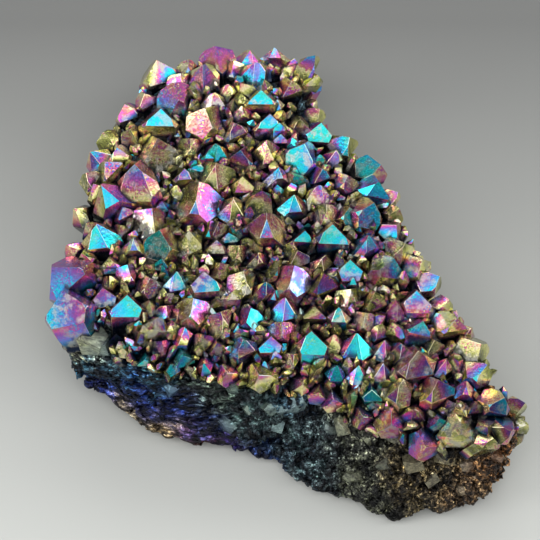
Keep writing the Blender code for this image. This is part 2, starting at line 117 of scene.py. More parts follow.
floor_size, floor_far, floor_near = 3.0, 0.10, -0.10
floor_far_shade, floor_pale = (0.165, 0.167, 0.160), (0.60, 0.61, 0.575)
floor_shape = bmesh.new()
bmesh.ops.create_grid(floor_shape, x_segments=1, y_segments=1, size=floor_size)
floor_mesh = bpy.data.meshes.new("floor")
floor_shape.to_mesh(floor_mesh)
floor_shape.free()
floor = bpy.data.objects.new("floor", floor_mesh)
bpy.context.scene.collection.objects.link(floor)
floor_painted_falloff, tree, shader = new_finish("floor_painted_falloff")
shader.inputs["Roughness"].default_value = 0.7
# painted shade: the floor goes from pale at the front to dark grey at the back, in place of the light
# falling off
split = tree.nodes.new("ShaderNodeSeparateXYZ")
feed(tree, split.inputs[0], tree.nodes.new("ShaderNodeTexCoord").outputs["Object"])
fade = carry(tree, split.outputs["Y"], floor_far, floor_near)
feed(tree, shader.inputs["Base Color"], ramp(tree, fade, (0.0, floor_far_shade), (1.0, floor_pale)))
floor_mesh.materials.append(floor_painted_falloff)


def soft_light(name, across, height, distance, width, tall, power):
    """A softbox at an azimuth (0 behind the camera, 180 behind the cluster), facing the cluster."""
    turn, rise = math.radians(across), math.radians(height)
    way = Vector((math.sin(turn) * math.cos(rise), -math.cos(turn) * math.cos(rise), math.sin(rise)))
    data = bpy.data.lights.new(name, "AREA")
    data.shape, data.size, data.size_y = "RECTANGLE", width, tall
    data.energy = power
    box = bpy.data.objects.new(name, data)
    box.location = way * distance
    box.rotation_euler = way.to_track_quat("Z", "Y").to_euler()
    bpy.context.scene.collection.objects.link(box)


soft_light("key_softbox", 0, 68, 1.5, 2.2, 1.6, 17)
soft_light("back_softbox", 178, 30, 1.5, 1.6, 0.8, 11)
soft_light("left_strip", -85, 34, 1.3, 0.4, 1.0, 6)
soft_light("right_strip", 92, 30, 1.3, 0.4, 1.0, 5)

room = bpy.data.worlds.new("room")
room.use_nodes = True
room.node_tree.nodes["Background"].inputs["Color"].default_value = (0.55, 0.57, 0.60, 1)
room.node_tree.nodes["Background"].inputs["Strength"].default_value = 0.50
bpy.context.scene.world = room
bpy.context.scene.view_settings.view_transform = "Standard"

# --------------------------------------------------------------------------- stone slab
# The matrix: a broken slab of grey volcanic stone. Its upper face carries the crystals, its
# front is a rough break that shows the grains, and its underside is ground flat to rest on.

crust_top, edge_drop, edge_round, swell = 28.5, 4.5, 6.0, 2.2      # millimetres from here on
rim_lift, tip_lift, tip_from, tip_run, foot_scale = 2.6, 5.0, -50, 12, 0.84
wall_steps, wall_bulge = 5, 1.4
wall_lumps = ((3.6, 8.5, 1.4), (1.8, 3.6, 1.8))          # depth, size and how flat they lie
crust_rings = (0.72, 0.36)
middle = Vector((-3.0, -8.0))
noise_seed = 1                           # without one, the noise's vectors differ each time
noise.seed_set(noise_seed)

# anticlockwise from the left tip: the slab's upper edge (x, y), then its rim below (x, y)
front_count = 17
outline = (
    (-69, -12, -61, -11), (-68, -20, -61.5, -27.5), (-58, -22.5, -54, -32),
    (-48, -28, -46, -39), (-38, -31, -37, -44), (-28, -33, -28, -46.5),
    (-17, -34, -18.5, -48.5), (-7, -37, -10, -51), (2, -38, -3, -51.5),
    (9, -39.5, 2, -57), (16, -44, 10, -62), (25, -48.5, 21, -66.5),
    (35, -53, 33, -71), (46, -56, 45, -68.5), (57, -55, 56, -66),
    (66, -52, 64, -60), (68.5, -46, 61, -48), (61.5, -37, 51, -38),
    (56, -27, 45, -27), (51.5, -18, 40, -17), (44, -8, 33, -6),
    (39, 3, 28, 4), (33, 15, 22, 15), (27, 28, 16, 27),
    (18, 39, 8, 37), (9, 48, 0, 45), (6, 58, -3, 53),
    (4, 67, -7, 58), (-10, 69.5, -15, 60), (-22, 69, -24, 59),
    (-34, 66.5, -32, 56), (-42, 61, -37, 51), (-48, 51, -40, 44),
    (-54, 40, -44, 35), (-60, 29, -49, 25), (-60, 17, -49, 15),
    (-63, 8, -52, 6), (-68, -2, -57, -1),
)

# lumps and hollows of the front wall: x, height, reach, depth (a hollow is negative)
wall_forms = (
    (-60, 17, 7, 1.6), (-50, 20, 5, -2.2), (-40, 10, 8, 1.4), (-30, 17, 5, -2.0),
    (-24, 21, 5, 1.8), (-16, 14, 5, -2.4), (-9, 21, 5, 1.4), (-3, 9, 5, -2.4),
    (1, 20, 6, 2.6), (10, 12, 6, -1.6), (18, 19, 5, 1.8), (26, 11, 7, 2.0),
    (34, 20, 5, -2.2), (43, 9, 7, 1.6), (50, 18, 5, -2.2), (61, 15, 6, 2.0),
)


def edge_distances(x, y):
    """Distances in from the slab's upper edge, negative outside it, and the ways outwards."""
    brow = np.array([row[:2] for row in outline])
    run = np.roll(brow, -1, axis=0) - brow
    x, y = np.atleast_1d(x)[:, None], np.atleast_1d(y)[:, None]
    from_x, from_y = x - brow[:, 0], y - brow[:, 1]
    along = np.clip((from_x * run[:, 0] + from_y * run[:, 1]) / (run ** 2).sum(1), 0, 1)
    apart = np.hypot(from_x - run[:, 0] * along, from_y - run[:, 1] * along)
    nearest = apart.argmin(1)
    crossed = ((from_y < 0) != (from_y < run[:, 1])) & (
        from_x < from_y / np.where(run[:, 1] == 0, 1e-9, run[:, 1]) * run[:, 0])
    inward = apart.min(1) * np.where(crossed.sum(1) % 2, 1, -1)
    outward = np.column_stack([run[nearest, 1], -run[nearest, 0]])
    return inward, outward / np.hypot(*outward.T)[:, None]


def crust_heights(x, y):
    """Heights of the crust's floor, which the crystals grow from."""
    inward, _ = edge_distances(x, y)
    waves = swell * np.sin(np.atleast_1d(x) / 17 + 0.6) * np.cos(np.atleast_1d(y) / 21 - 0.4)
    drop = np.where(inward < 0, edge_drop - inward, edge_drop * np.exp(-np.abs(inward) / edge_round))
    return crust_top - drop + waves


def edge_distance(x, y):
    """The same for one place."""
    inward, way = edge_distances(x, y)
    return float(inward[0]), Vector(way[0])


def crust_height(x, y):
    """The same for one place."""
    return float(crust_heights(x, y)[0])


def rim_height(x):
    """Height of the underside's rim: it sweeps up under the left tip."""
    reach = max(0.0, min(1.0, (tip_from - x) / tip_run))
    return rim_lift + tip_lift * reach * reach


def wall_relief(x, y, z):
    """How far the broken wall stands out at a place."""
    rough = sum(depth * noise.noise(Vector((x, y, z * flat)) / size)
                for depth, size, flat in wall_lumps)
    for form_x, form_z, reach, depth in wall_forms:
        apart = math.hypot(x - form_x, z - form_z) / reach
        if y < 0 and apart < 1:
            rough += depth * (1 - apart * apart) ** 2
    return rough


outline_rows = []
for i, row in enumerate(outline):
    outline_rows.append(Vector(row))
    if i < front_count - 1:
        outline_rows.append((Vector(row) + Vector(outline[i + 1])) / 2)
row_count = len(outline_rows)

stone = bmesh.new()
ring = []
for row in outline_rows:
    foot = middle + (Vector(row[2:]) - middle) * foot_scale
    ring.append(stone.verts.new((foot.x, foot.y, 0)))
stone.faces.new(ring)


def draw_up(ring, places):
    """Extrudes the ring's edges once and puts the new ring at its places."""
    edges = [stone.edges.get((ring[i], ring[(i + 1) % row_count])) for i in range(row_count)]
    grown = set(bmesh.ops.extrude_edge_only(stone, edges=edges)["geom"])
    fresh = []
    for old, place in zip(ring, places):
        vert = next(e.other_vert(old) for e in old.link_edges if e.other_vert(old) in grown)
        vert.co = place
        fresh.append(vert)
    return fresh


for step in range(wall_steps + 1):
    part = step / wall_steps
    places = []
    for i, row in enumerate(outline_rows):
        brow, rim = Vector(row[:2]), Vector(row[2:])
        run = Vector(outline_rows[(i + 1) % row_count][:2]) - Vector(outline_rows[i - 1][:2])
        outward = Vector((run.y, -run.x)).normalized()
        plan = rim.lerp(brow, part)
        low, high = rim_height(rim.x), crust_height(brow.x, brow.y)
        z = low + (high - low) * part
        proud = wall_bulge * math.sin(math.pi * part)
        proud += wall_relief(plan.x, plan.y, z) * (1 if step else 0.5)
        plan += outward * proud
        places.append((plan.x, plan.y, z))
    ring = draw_up(ring, places)
for scale in crust_rings:
    places = []
    for row in outline_rows:
        plan = middle + (Vector(row[:2]) - middle) * scale
        places.append((plan.x, plan.y, crust_height(plan.x, plan.y)))
    ring = draw_up(ring, places)
bmesh.ops.contextual_create(stone, geom=[
    stone.edges.get((ring[i], ring[(i + 1) % row_count])) for i in range(row_count)])
bmesh.ops.recalc_face_normals(stone, faces=stone.faces[:])


def in_fixed_order(bm):
    """The same mesh with its faces and their corners in a fixed order, so that it always cuts alike."""
    bm.verts.index_update()
    corner_rows = []
    for face in bm.faces:
        row = [vert.index for vert in face.verts]
        first = row.index(min(row))
        corner_rows.append(row[first:] + row[:first])
    ordered = bmesh.new()
    verts = [ordered.verts.new(vert.co) for vert in bm.verts]
    for row in sorted(corner_rows):
        ordered.faces.new([verts[i] for i in row])
    bm.free()
    ordered.normal_update()
    return ordered


stone = in_fixed_order(stone)

# its sides are cut fine, rounded off, and broken into grains and hollows
fine_cuts, fine_edge, smooth_rounds = 8, 3.2, 3
grain_kinds = ((6.4, 2.6, 1.5), (2.8, 1.3, 1.8), (1.2, 0.5, 1.6))      # size, step and slant
lump_depth, lump_size, grain_bend = 0.9, 6.0, 1.4
flaky_from, flaky_run = -8, 26                    # the stone turns flaky towards the left
sides = [face for face in stone.faces if len(face.verts) == 4]
side_edges = list(dict.fromkeys(edge for face in sides for edge in face.edges))
bmesh.ops.subdivide_edges(stone, edges=side_edges, cuts=fine_cuts, use_grid_fill=True)
bmesh.ops.triangulate(stone, faces=[face for face in stone.faces if len(face.verts) > 4])
fine = [vert for vert in stone.verts
        if vert.co.z > 0.01 and max(edge.calc_length() for edge in vert.link_edges) < fine_edge]
for _ in range(smooth_rounds):
    bmesh.ops.smooth_vert(stone, verts=fine, factor=0.5,
                          use_axis_x=True, use_axis_y=True, use_axis_z=True)


def broken(place, size, step, tilt):
    """A stone broken into angular grains of one size: each has its own height and slant."""
    apart, centres = noise.voronoi(place / size)
    slant = noise.cell_vector(centres[0] * 9.1) - Vector((0.5, 0.5, 0.5))
    flat = (place / size - centres[0]).dot(slant) * tilt
    groove = math.exp(-(apart[1] - apart[0]) * 8)
    return step * (noise.cell(centres[0] * 7.3) * 0.5 + flat - 0.5 * groove)


def flakiness(x):
    """How flaky the stone is: 0 on the right, 1 at the left end."""
    return max(0.0, min(1.0, (flaky_from - x) / flaky_run))


def grain_relief(place):
    """Broken grains, coarse to the right and flaky to the left."""
    flaky = flakiness(place.x)
    squeezed = Vector((place.x * (1 - 0.45 * flaky), place.y, place.z * (1 + 0.6 * flaky)))
    bent = squeezed + grain_bend * noise.noise_vector(squeezed / 4)
    grains = sum(broken(bent, *kind) for kind in grain_kinds)
    return grains * (1 - 0.3 * flaky) + lump_depth * noise.noise(place / lump_size)


# the grains are worn down near the foot and under the crust
foot_wear, crust_wear, crust_from, crust_in, grains_proud = 5.0, 0.2, 20, 5, 0.2
stone.normal_update()
moves = []
inward, _ = edge_distances(*np.array([vert.co[:2] for vert in fine]).T)
for vert, into in zip(fine, inward):
    wear_and_highlight = min(1.0, vert.co.z / foot_wear)
    if vert.co.z > crust_from and into > crust_in:
        wear_and_highlight = crust_wear
    moves.append((vert, vert.normal * (grain_relief(vert.co) + grains_proud) * wear_and_highlight))
for vert, move in moves:
    vert.co += move
    vert.co.z = max(vert.co.z, 0.05)
stone.normal_update()
wall_places = [(vert.co.copy(), vert.normal.copy()) for vert in fine]
wall_places.sort(key=lambda spot: spot[0].x)      # so that chance picks the same ones each time

# --------------------------------------------------------------------- quartz crystals
# Amethyst, a quartz, grown out of the stone and into each other: six walls and a point of
# three to six sloping faces each. Under the rainbow coating only their form can be seen.

face_slope = math.radians(51.8)          # between a sloping end face's normal and the long axis
shoulder_to_tip = 1.10                   # height of an even end, in outer radii
main_face, side_face = (-0.18, 0.08), (0.14, 0.48)
even_ends = 0.30                         # share with six like end faces; three are large on the others
broad_wall, other_walls = (0.50, 0.80), (0.78, 1.0)      # walls' distances from the axis, in radii
crowding, sinking = 1.30, 0.30           # wider than the part that shows, and sunk by radii
stem_length, stem_taper = 9.0, 0.86
seed = 41

# x, y, width, rise over the crust, lean east, lean north, ridge, then the coating's film
# thickness in nanometres on the faces turned up and on those turned down
large_crystals = (
    (-39.2, 66.9, 11, 2.5, -8, 28, 20, 465, 440), (-30.7, 68.9, 6.5, 2.5, 0, 34, 60, 540, 440),
    (-33.2, 63, 7.5, 2, 5, 18, 70, 450, 410), (-33.8, 55.6, 11, 4, -14, 25, 80, 508, 500),
    (-43.4, 57, 7, 2, -10, 14, 30, 460, 430), (-48.7, 54.1, 8, 2, -18, 18, 10, 470, 430),
    (-54, 44.9, 7.5, 3, -30, 20, 100, 400, 385), (-47.3, 44.7, 7, 2, -5, 9, 90, 410, 400),
    (-39.2, 47.4, 11, 3.5, 2, 20, 0, 650, 395), (-57.1, 38.2, 9.5, 3, -32, 16, 60, 520, 430),
    (-39.8, 37.1, 13.5, 2.5, 4, 19, 25, 470, 420), (-44, 27, 14, 4.5, -12, 19, 110, 500, 485),
    (-31.7, 29.7, 8, 2.5, 4, 23, 10, 560, 400), (-52, 22.6, 14.5, 3.5, -28, 21, 20, 610, 425),
    (-62.2, 20.8, 7.5, 2, -36, 14, 90, 400, 385), (-56.4, 9.5, 11, 3.5, -12, 20, 0, 680, 420),
    (-64.3, 7.6, 6.5, 2, -34, 10, 45, 450, 430), (-41.3, 15.1, 11.5, 3, 3, 15, 70, 500, 470),
    (-48.9, 18, 6, 3, -8, 15, 30, 550, 540), (-38, 20.4, 6, 2.5, 0, 13, 20, 550, 530),
    (-46.2, 6.4, 8.5, 3, -4, 20, 0, 600, 410), (-36.8, 7, 12, 4, -6, 21, 95, 690, 430),
    (-29.2, 7.4, 9.5, 4.5, -6, 23, 90, 395, 385), (-53.5, 0.8, 6.5, 2, -8, 17, 0, 430, 410),
    (-64.1, -4.2, 15, 3.5, -34, 8, 30, 585, 520), (-53.5, -5.2, 6, 2, 0, 15, 60, 400, 395),
    (-64, -14.5, 14.5, 3.5, -20, 24, 0, 548, 536), (-48, -2.5, 7.5, 2.5, 0, 21, 80, 540, 520),
    (-41.3, -6.2, 8, 2.5, 4, 13, 30, 480, 430), (-55, -10.1, 8, 2.5, -4, 21, 10, 520, 480),
    (-48, -14.8, 11, 3.5, 0, 22, 0, 655, 480), (-41.3, -13.1, 6.5, 2, 4, 15, 50, 400, 390),
    (-36.2, -14.5, 6.5, 2, 2, 15, 70, 470, 440), (-33.5, -5.5, 8.5, 3, 0, 25, 15, 610, 560),
    (-28.3, -15.1, 10, 4, 4, 20, 170, 665, 410), (-59.1, 13.8, 6.5, 2, -26, 14, 30, 460, 430),
    (-50.1, 12.7, 6, 1.5, -6, 15, 45, 450, 420), (-60.6, 3.6, 6.5, 2, -24, 8, 0, 400, 390),
    (-21.1, 70.3, 11.5, 3, -6, 30, 60, 510, 500), (-11.7, 73, 9, 3, 4, 32, 100, 520, 440),
    (-25.3, 64.8, 10.5, 3, -2, 16, 90, 495, 430), (-9.2, 66, 10.5, 3.5, -2, 12, 80, 560, 430),
    (-18, 59.1, 7, 2, -4, 19, 45, 440, 420), (-8, 55.4, 10.5, 3.5, 0, 15, 0, 650, 390),
    (1.4, 71.3, 8.5, 2.5, 12, 30, 120, 480, 400), (7.5, 65.4, 7, 2, 26, 24, 45, 600, 540),
    (0.9, 61.6, 8, 2, 8, 14, 30, 450, 410), (-16.3, 68, 7, 2, 0, 22, 45, 460, 430),
    (-22.6, 55.5, 8, 2, 0, 17, 20, 440, 410), (-3, 54.6, 6, 2, 6, 17, 60, 600, 420),
    (-13.8, 51.2, 7.5, 2, 0, 17, 10, 440, 420), (-5.6, 46.6, 9, 3.5, 2, 27, 0, 640, 440),
    (-24.7, 47.6, 11.5, 3, 0, 19, 85, 440, 420), (-15.6, 44.6, 8, 2.5, -3, 15, 30, 480, 440),
    (-6.2, 38.3, 9, 3, 0, 17, 70, 430, 410), (4, 48.6, 7.5, 2, 8, 10, 0, 400, 390),
    (8.2, 54, 7, 2, 24, 18, 60, 420, 400), (9.4, 45.5, 9, 3, 14, 18, 5, 690, 530),
    (-21.3, 38.3, 8, 2.5, 0, 13, 20, 720, 420), (-13.2, 35.8, 7.5, 3, -10, 15, 100, 550, 520),
    (-29.2, 40.4, 7.5, 2, 2, 17, 60, 410, 395), (-21.6, 29.7, 11, 3, 2, 19, 40, 440, 400),
    (-2.6, 28.6, 8.5, 3, 2, 23, 10, 600, 490), (5, 35.8, 11, 4, 6, 15, 95, 640, 560),
    (9.9, 29.6, 7, 2, 10, 15, 30, 560, 500), (-13, 26.9, 7.5, 2, 0, 17, 0, 450, 410),
    (-1.6, 42.5, 6, 2, 4, 17, 0, 550, 520), (17, 42.7, 9.5, 3.5, 24, 16, 60, 620, 400),
    (14.3, 37.2, 7.5, 2, 12, 14, 45, 440, 410), (24.9, 34.7, 10, 3.5, 38, 6, 150, 660, 470),
    (18, 27.2, 7.5, 2, 10, 17, 30, 460, 440), (25.9, 25.4, 10, 3, 22, 14, 0, 660, 560),
    (31.9, 26.3, 6.5, 2, 34, 14, 60, 450, 430), (23.4, 17, 10, 4, 30, 17, 125, 650, 480),
    (31.9, 18.9, 7, 2, 34, 12, 0, 410, 400), (31.1, 12.2, 7.5, 2.5, 26, 8, 80, 520, 480),
    (33.2, 5.5, 8.5, 3, 24, 6, 45, 450, 420), (13.8, 7.4, 10.5, 4, 4, 20, 0, 690, 500),
    (23.8, 5.1, 9, 3, 6, 21, 35, 630, 540), (38.2, 0.7, 10, 3, 20, 10, 50, 490, 430),
    (42.5, -4.3, 8, 4, 38, 12, 55, 560, 420), (18.6, 15.1, 7, 2.5, 8, 23, 140, 690, 430),
    (12.2, 15.8, 8.5, 2, 2, 17, 60, 450, 420), (19.4, -2.6, 8.5, 3, 0, 20, 0, 650, 440),
    (29.2, -3.2, 10.5, 4, 30, 23, 15, 640, 420), (38.7, -13.4, 10, 4, 2, 26, 0, 540, 520),
    (46.4, -10.7, 6.5, 2, 34, 14, 30, 450, 430), (32.4, -15, 7.5, 2.5, 0, 23, 90, 480, 460),
    (48.2, -19.2, 10.5, 3.5, 22, 12, 20, 520, 410), (54.7, -27.1, 11, 3.5, 26, 4, 60, 450, 400),
    (39, -22.7, 8.5, 4, 24, 27, 0, 665, 480), (53.8, -19.1, 6.5, 2, 32, 12, 60, 460, 430),
    (-26.6, 20.8, 13.5, 4.5, 0, 25, 170, 600, 410), (-16.8, 19.2, 9, 3, 2, 17, 80, 440, 420),
    (-7.4, 20.4, 9.5, 3.5, -2, 19, 95, 470, 420), (-5.6, 11.4, 12, 4.5, 0, 22, 0, 585, 425),
    (2.2, 18.4, 9, 3, 4, 23, 10, 660, 470), (9.6, 22.4, 9, 3, 6, 17, 45, 480, 420),
    (4.9, 7.8, 7, 2.5, 6, 25, 0, 690, 450), (3.4, 1.2, 7.5, 2, 2, 15, 30, 480, 430),
    (-21.2, 6.4, 7, 2, 0, 17, 0, 450, 420), (-14.8, 4.6, 7, 2, 2, 15, 60, 440, 420),
    (-20.4, 12.4, 7, 2, 0, 17, 30, 450, 430), (-20.2, -1.2, 7.5, 2.5, -2, 15, 45, 500, 420),
    (-13.4, -6, 9.5, 3.5, 2, 19, 80, 420, 400), (-24.4, -6.9, 9.5, 4, -2, 27, 5, 570, 420),
    (-8.4, 1.4, 7.5, 2, 0, 15, 20, 440, 420), (-6.4, -9, 7.5, 3, 4, 21, 30, 550, 410),
    (1.9, -6.4, 11, 4, 2, 27, 165, 600, 500), (11.2, -7.9, 8.5, 3, 2, 21, 30, 500, 420),
    (-0.6, -14.9, 9.5, 3, 0, 21, 20, 590, 440), (-10.7, -18, 8, 3, 0, 27, 160, 660, 540),
    (-1.4, -21.8, 8, 3, 0, 15, 60, 520, 500), (-19.6, -18.6, 8.5, 3, -4, 15, 80, 440, 430),
    (15.4, -17.6, 7, 3, 2, 27, 0, 670, 430), (8.2, -16.2, 8, 2, 2, 15, 0, 430, 410),
    (18.8, -10.8, 8, 2, 2, 15, 70, 420, 400), (26.2, -11.6, 7.5, 2, 4, 15, 30, 410, 390),
    (23.2, -18.2, 8, 2.5, 0, 13, 50, 460, 430), (11, 0, 8, 2, 4, 13, 45, 450, 420),
    (7.6, -26, 9.5, 3.5, 2, 25, 120, 700, 480), (-5, -26.4, 7.5, 3, -2, 21, 0, 580, 470),
    (-12.8, -26.8, 8.5, 3, -2, 11, 30, 550, 540), (-7.6, -34.4, 9.5, 2.5, -4, -14, 30, 560, 415),
    (1.6, -30, 6.5, 2, 4, 3, 60, 440, 400), (-17.5, -33.4, 7, 2, -2, -16, 30, 480, 450),
    (-24.4, -31, 6, 2, -6, -8, 70, 690, 450), (-31, -29.4, 6.5, 2, -2, -4, 20, 560, 700),
    (-37.4, -25.4, 6, 1.5, -2, 5, 70, 570, 480), (-43.6, -22.6, 5.5, 1.5, -4, 9, 30, 500, 430),
    (-42.4, -28.6, 5, 1, -4, -14, 0, 690, 660), (-30.4, -22.8, 7.5, 2.5, 0, 23, 60, 560, 500),
    (-25, -24, 6.5, 2, 0, 13, 45, 460, 430), (20.6, -27, 8.5, 3.5, 2, 27, 165, 710, 490),
    (28.8, -27.2, 7, 2.5, 4, 23, 100, 550, 450), (33.8, -27.6, 7.5, 2.5, 4, 13, 20, 540, 480),
    (38.6, -33, 11, 4, 4, 13, 15, 480, 482), (14.8, -33.9, 6.5, 2.5, 2, 13, 120, 690, 560),
    (21.2, -35, 6.5, 2.5, 2, 25, 130, 640, 450), (28.4, -34.2, 7, 3, 2, 23, 100, 550, 482),
    (25.4, -40.9, 6.5, 2, 0, 7, 0, 660, 640), (33.8, -40.6, 9.5, 3.5, 4, 17, 80, 450, 410),
    (31, -48.6, 10, 2.5, -2, -24, 0, 640, 482), (56, -35.1, 8.5, 4, 36, 14, 150, 660, 400),
    (52.6, -41.2, 7, 3, 10, 27, 0, 550, 450), (61.5, -44.6, 9, 3, 28, 6, 0, 640, 482),
    (51, -52.6, 11, 2.5, 4, -26, 0, 560, 420), (58.9, -51.2, 6.5, 2, 8, -18, 70, 650, 450),
    (44.4, -42, 10.5, 3.5, 4, 21, 30, 500, 482), (37.9, -46.7, 7.5, 2, 0, -3, 15, 500, 440),
    (22.6, -46.2, 7, 1.5, -2, -18, 30, 640, 450), (14, -41, 7, 1.5, -6, -14, 130, 545, 482),
    (41, -54.6, 9.5, 1.5, 0, -30, 30, 490, 480), (45, -49.8, 6, 2, 2, -1, 20, 600, 540),
    (63.8, -52.2, 8, 2, 26, -18, 60, 450, 482), (4.6, -36.2, 6.5, 2, 4, -14, 90, 480, 430),
    (9.4, -38.9, 6, 1.5, 2, -16, 110, 520, 450), (46.8, -33, 7, 2, 8, 21, 40, 470, 482),
    (43.6, -26.4, 7, 2, 6, 15, 30, 410, 395), (49, -26.6, 6.5, 2, 12, 15, 0, 430, 400),
    (-50.8, -21.6, 6, -1.5, -6, 4, 0, 400, 390), (-20.6, -26, 6, 1.5, -2, 5, 20, 450, 430),
    (14.6, -25, 7, 2, 2, 21, 60, 440, 420), (27.6, -21.8, 7, 2, 2, 21, 20, 450, 420),
    (-58.8, 30.2, 8.5, 3, -26, 16, 60, 450, 400), (-56.8, 25.6, 7.5, 3, -24, 16, 20, 430, 395),
    (-53.6, 32.2, 8, 3.5, -18, 18, 50, 540, 400), (-50.6, 37.6, 7, 3, -16, 20, 0, 460, 400),

)


def habit_of(shape):
    """A crystal's habit: how far up its six end faces sit and how far out its six walls."""
    even = shape.random() < even_ends
    tips = []
    for i in range(6):
        back = shape.uniform(*main_face) if even or i % 2 == 0 else shape.uniform(*side_face)
        tips.append(shoulder_to_tip + back)
    walls = [shape.uniform(*(other_walls if i else broad_wall)) for i in range(6)]
    return tips, walls


def end_height(radius, habit, x, y):
    """Height of a crystal's end faces over its shoulder at a place on its plan."""
    return min(tip * radius - math.tan(face_slope) * (
        x * math.cos(math.radians(60 * i)) + y * math.sin(math.radians(60 * i)))
        for i, tip in enumerate(habit[0]))


def cut_off(bm, place, way):
    """Cuts off what lies beyond a plane, and closes the cut with one flat face."""
    cut = bmesh.ops.bisect_plane(bm, geom=bm.verts[:] + bm.edges[:] + bm.faces[:],
                                 plane_co=place, plane_no=way, clear_outer=True, dist=1e-5)
    rim = [e for e in cut["geom_cut"] if isinstance(e, bmesh.types.BMEdge)]
    if rim:
        bmesh.ops.contextual_create(bm, geom=rim)


def crystal(radius, stem, habit, number, bevel_offset=0.0):
    """One crystal along +Z with its shoulder at zero: six walls and six sloping end faces."""
    tall = stem + 1.6 * radius
    bm = bmesh.new()
    bmesh.ops.create_cone(bm, cap_ends=True, segments=6, radius1=radius * stem_taper,
                          radius2=radius * (1 + (1 - stem_taper) * 1.6 * radius / stem), depth=tall)
    bmesh.ops.translate(bm, verts=bm.verts[:], vec=(0, 0, tall / 2 - stem))
    for i, tip in enumerate(habit[0]):
        turn = math.radians(60 * i)
        cut_off(bm, (0, 0, tip * radius), (math.sin(face_slope) * math.cos(turn),
                                           math.sin(face_slope) * math.sin(turn), math.cos(face_slope)))
    for i, near in enumerate(habit[1]):
        way = Vector((math.cos(math.radians(60 * i)), math.sin(math.radians(60 * i)), 0))
        cut_off(bm, way * near * radius * math.cos(math.radians(30)), way)
    belongs = bm.faces.layers.int.new("crystal")
    edging = bm.faces.layers.int.new("edging")
    # the bevel's faces are flagged, and the coating paints a pale highlight on them
    if bevel_offset:
        wear_and_highlight = bmesh.ops.bevel(bm, geom=[e for e in bm.edges if e.verts[0].co.z > -stem * 0.9],
                               offset=bevel_offset, offset_type="OFFSET", segments=1, profile=0.5,
                               affect="EDGES", material=-1, clamp_overlap=True)
        for face in wear_and_highlight["faces"]:
            face[edging] = 1
    for face in bm.faces:
        face[belongs] = number
        face.material_index = 1
    return bm


def lean_matrix(lean_east, lean_north, ridge):
    """Turns a crystal so that its ridge runs along ridge, then leans it."""
    axis = Vector((math.tan(math.radians(lean_east)), math.tan(math.radians(lean_north)), 1))
    turn = Vector((0, 0, 1)).rotation_difference(axis.normalized()).to_matrix().to_4x4()
    return turn @ Matrix.Rotation(math.radians(ridge - 90), 4, "Z")


# crystals that hang out under the slab's edge, everywhere but on the broken front
skirt_step, skirt_widths, skirt_lean, skirt_height = 9.0, (7.5, 10.5), 66.0, 0.62
chance = random.Random(seed)
skirt = []
rows = outline[front_count - 1:] + outline[:1]
spare = 0.0
for row, following in zip(rows, rows[1:]):
    start, end = Vector(row), Vector(following)
    run = end - start
    length = Vector(run[:2]).length
    outward = Vector((run.y, -run.x)).normalized()
    at = spare
    while at < length:
        place = start + run * (at / length)
        plan = Vector(place[2:]).lerp(Vector(place[:2]), skirt_height) + outward * 1.0
        low = rim_height(place[2])
        z = low + (crust_height(place[0], place[1]) - low) * skirt_height
        lean = math.radians(skirt_lean + chance.uniform(-12, 8))
        sway = chance.uniform(-0.35, 0.35)
        way = Vector((outward.x - sway * outward.y, outward.y + sway * outward.x)).normalized()
        skirt.append((plan.x, plan.y, z + chance.uniform(-2, 2), chance.uniform(*skirt_widths),
                      math.degrees(math.atan(math.tan(lean) * way.x)),
                      math.degrees(math.atan(math.tan(lean) * way.y)),
                      chance.uniform(0, 180)))
        at += skirt_step * chance.uniform(0.85, 1.15)
    spare = at - length

# smaller ones in the widest gaps between the large ones
fill_count, fill_widths, fill_spacing = 34, (5.5, 7.5), 0.56
chance = random.Random(seed + 1)
grown = [(x, y, crust_height(x, y) + rise, width, east, north, ridge)
         for x, y, width, rise, east, north, ridge, *_ in large_crystals]
fill = []
for _ in range(6000):
    if len(fill) == fill_count:
        break
    x, y = chance.uniform(-70, 70), chance.uniform(-60, 68)
    width = chance.uniform(*fill_widths)
    inward, way = edge_distance(x, y)
    close = any(math.hypot(x - one[0], y - one[1]) < fill_spacing * (width + one[3])
                for one in grown + fill)
    if inward < 0 or close:
        continue
    spread = 34 * math.exp(-inward / 5)
    fill.append((x, y, crust_height(x, y) + 1.5, width,
                 way.x * spread + chance.uniform(-9, 9),
                 way.y * spread + 20 + chance.uniform(-9, 9), chance.uniform(0, 180)))
grown += skirt + fill

# every crystal's film thickness up and down; the unlisted ones take theirs by chance, out of
# turquoise, violet, gold and bronze up to these shares
film_kinds = ((0.14, 630, 700), (0.27, 490, 570), (0.68, 420, 475), (1.0, 385, 425))
lower_bronze, lower_pink, bronze_share = (378, 432), (470, 515), 0.78
skirt_films = (395, 520), (380, 430)
chance = random.Random(seed + 2)


def chance_film():
    """Film thickness on faces turned up and down, in the shares the coating shows."""
    kind = chance.random()
    upper = chance.uniform(*next(row[1:] for row in film_kinds if kind < row[0]))
    lower = chance.uniform(*(lower_bronze if chance.random() < bronze_share else lower_pink))
    return upper, min(upper, lower)


films = [row[7:] for row in large_crystals]
films += [tuple(chance.uniform(*film) for film in skirt_films) for _ in skirt]
films += [chance_film() for _ in fill]

# small crystals at the far corner and at the right end, where the crust stands out past the
# large ones: place, width, lean east, lean north and ridge, then the two film thicknesses
corner_crystals = (
    (6.6, 69.2, 26.5, 8, 22, 26, 70, 560, 430), (7.2, 65.2, 25.5, 6, 26, 12, 20, 450, 420),
    (-3.4, 73.4, 25, 6, 0, 34, 0, 520, 440), (67.6, -42.6, 21.5, 6.5, 46, 8, 40, 475, 400),
    (68.6, -47.5, 19.5, 5.5, 54, -8, 10, 388, 380),
)

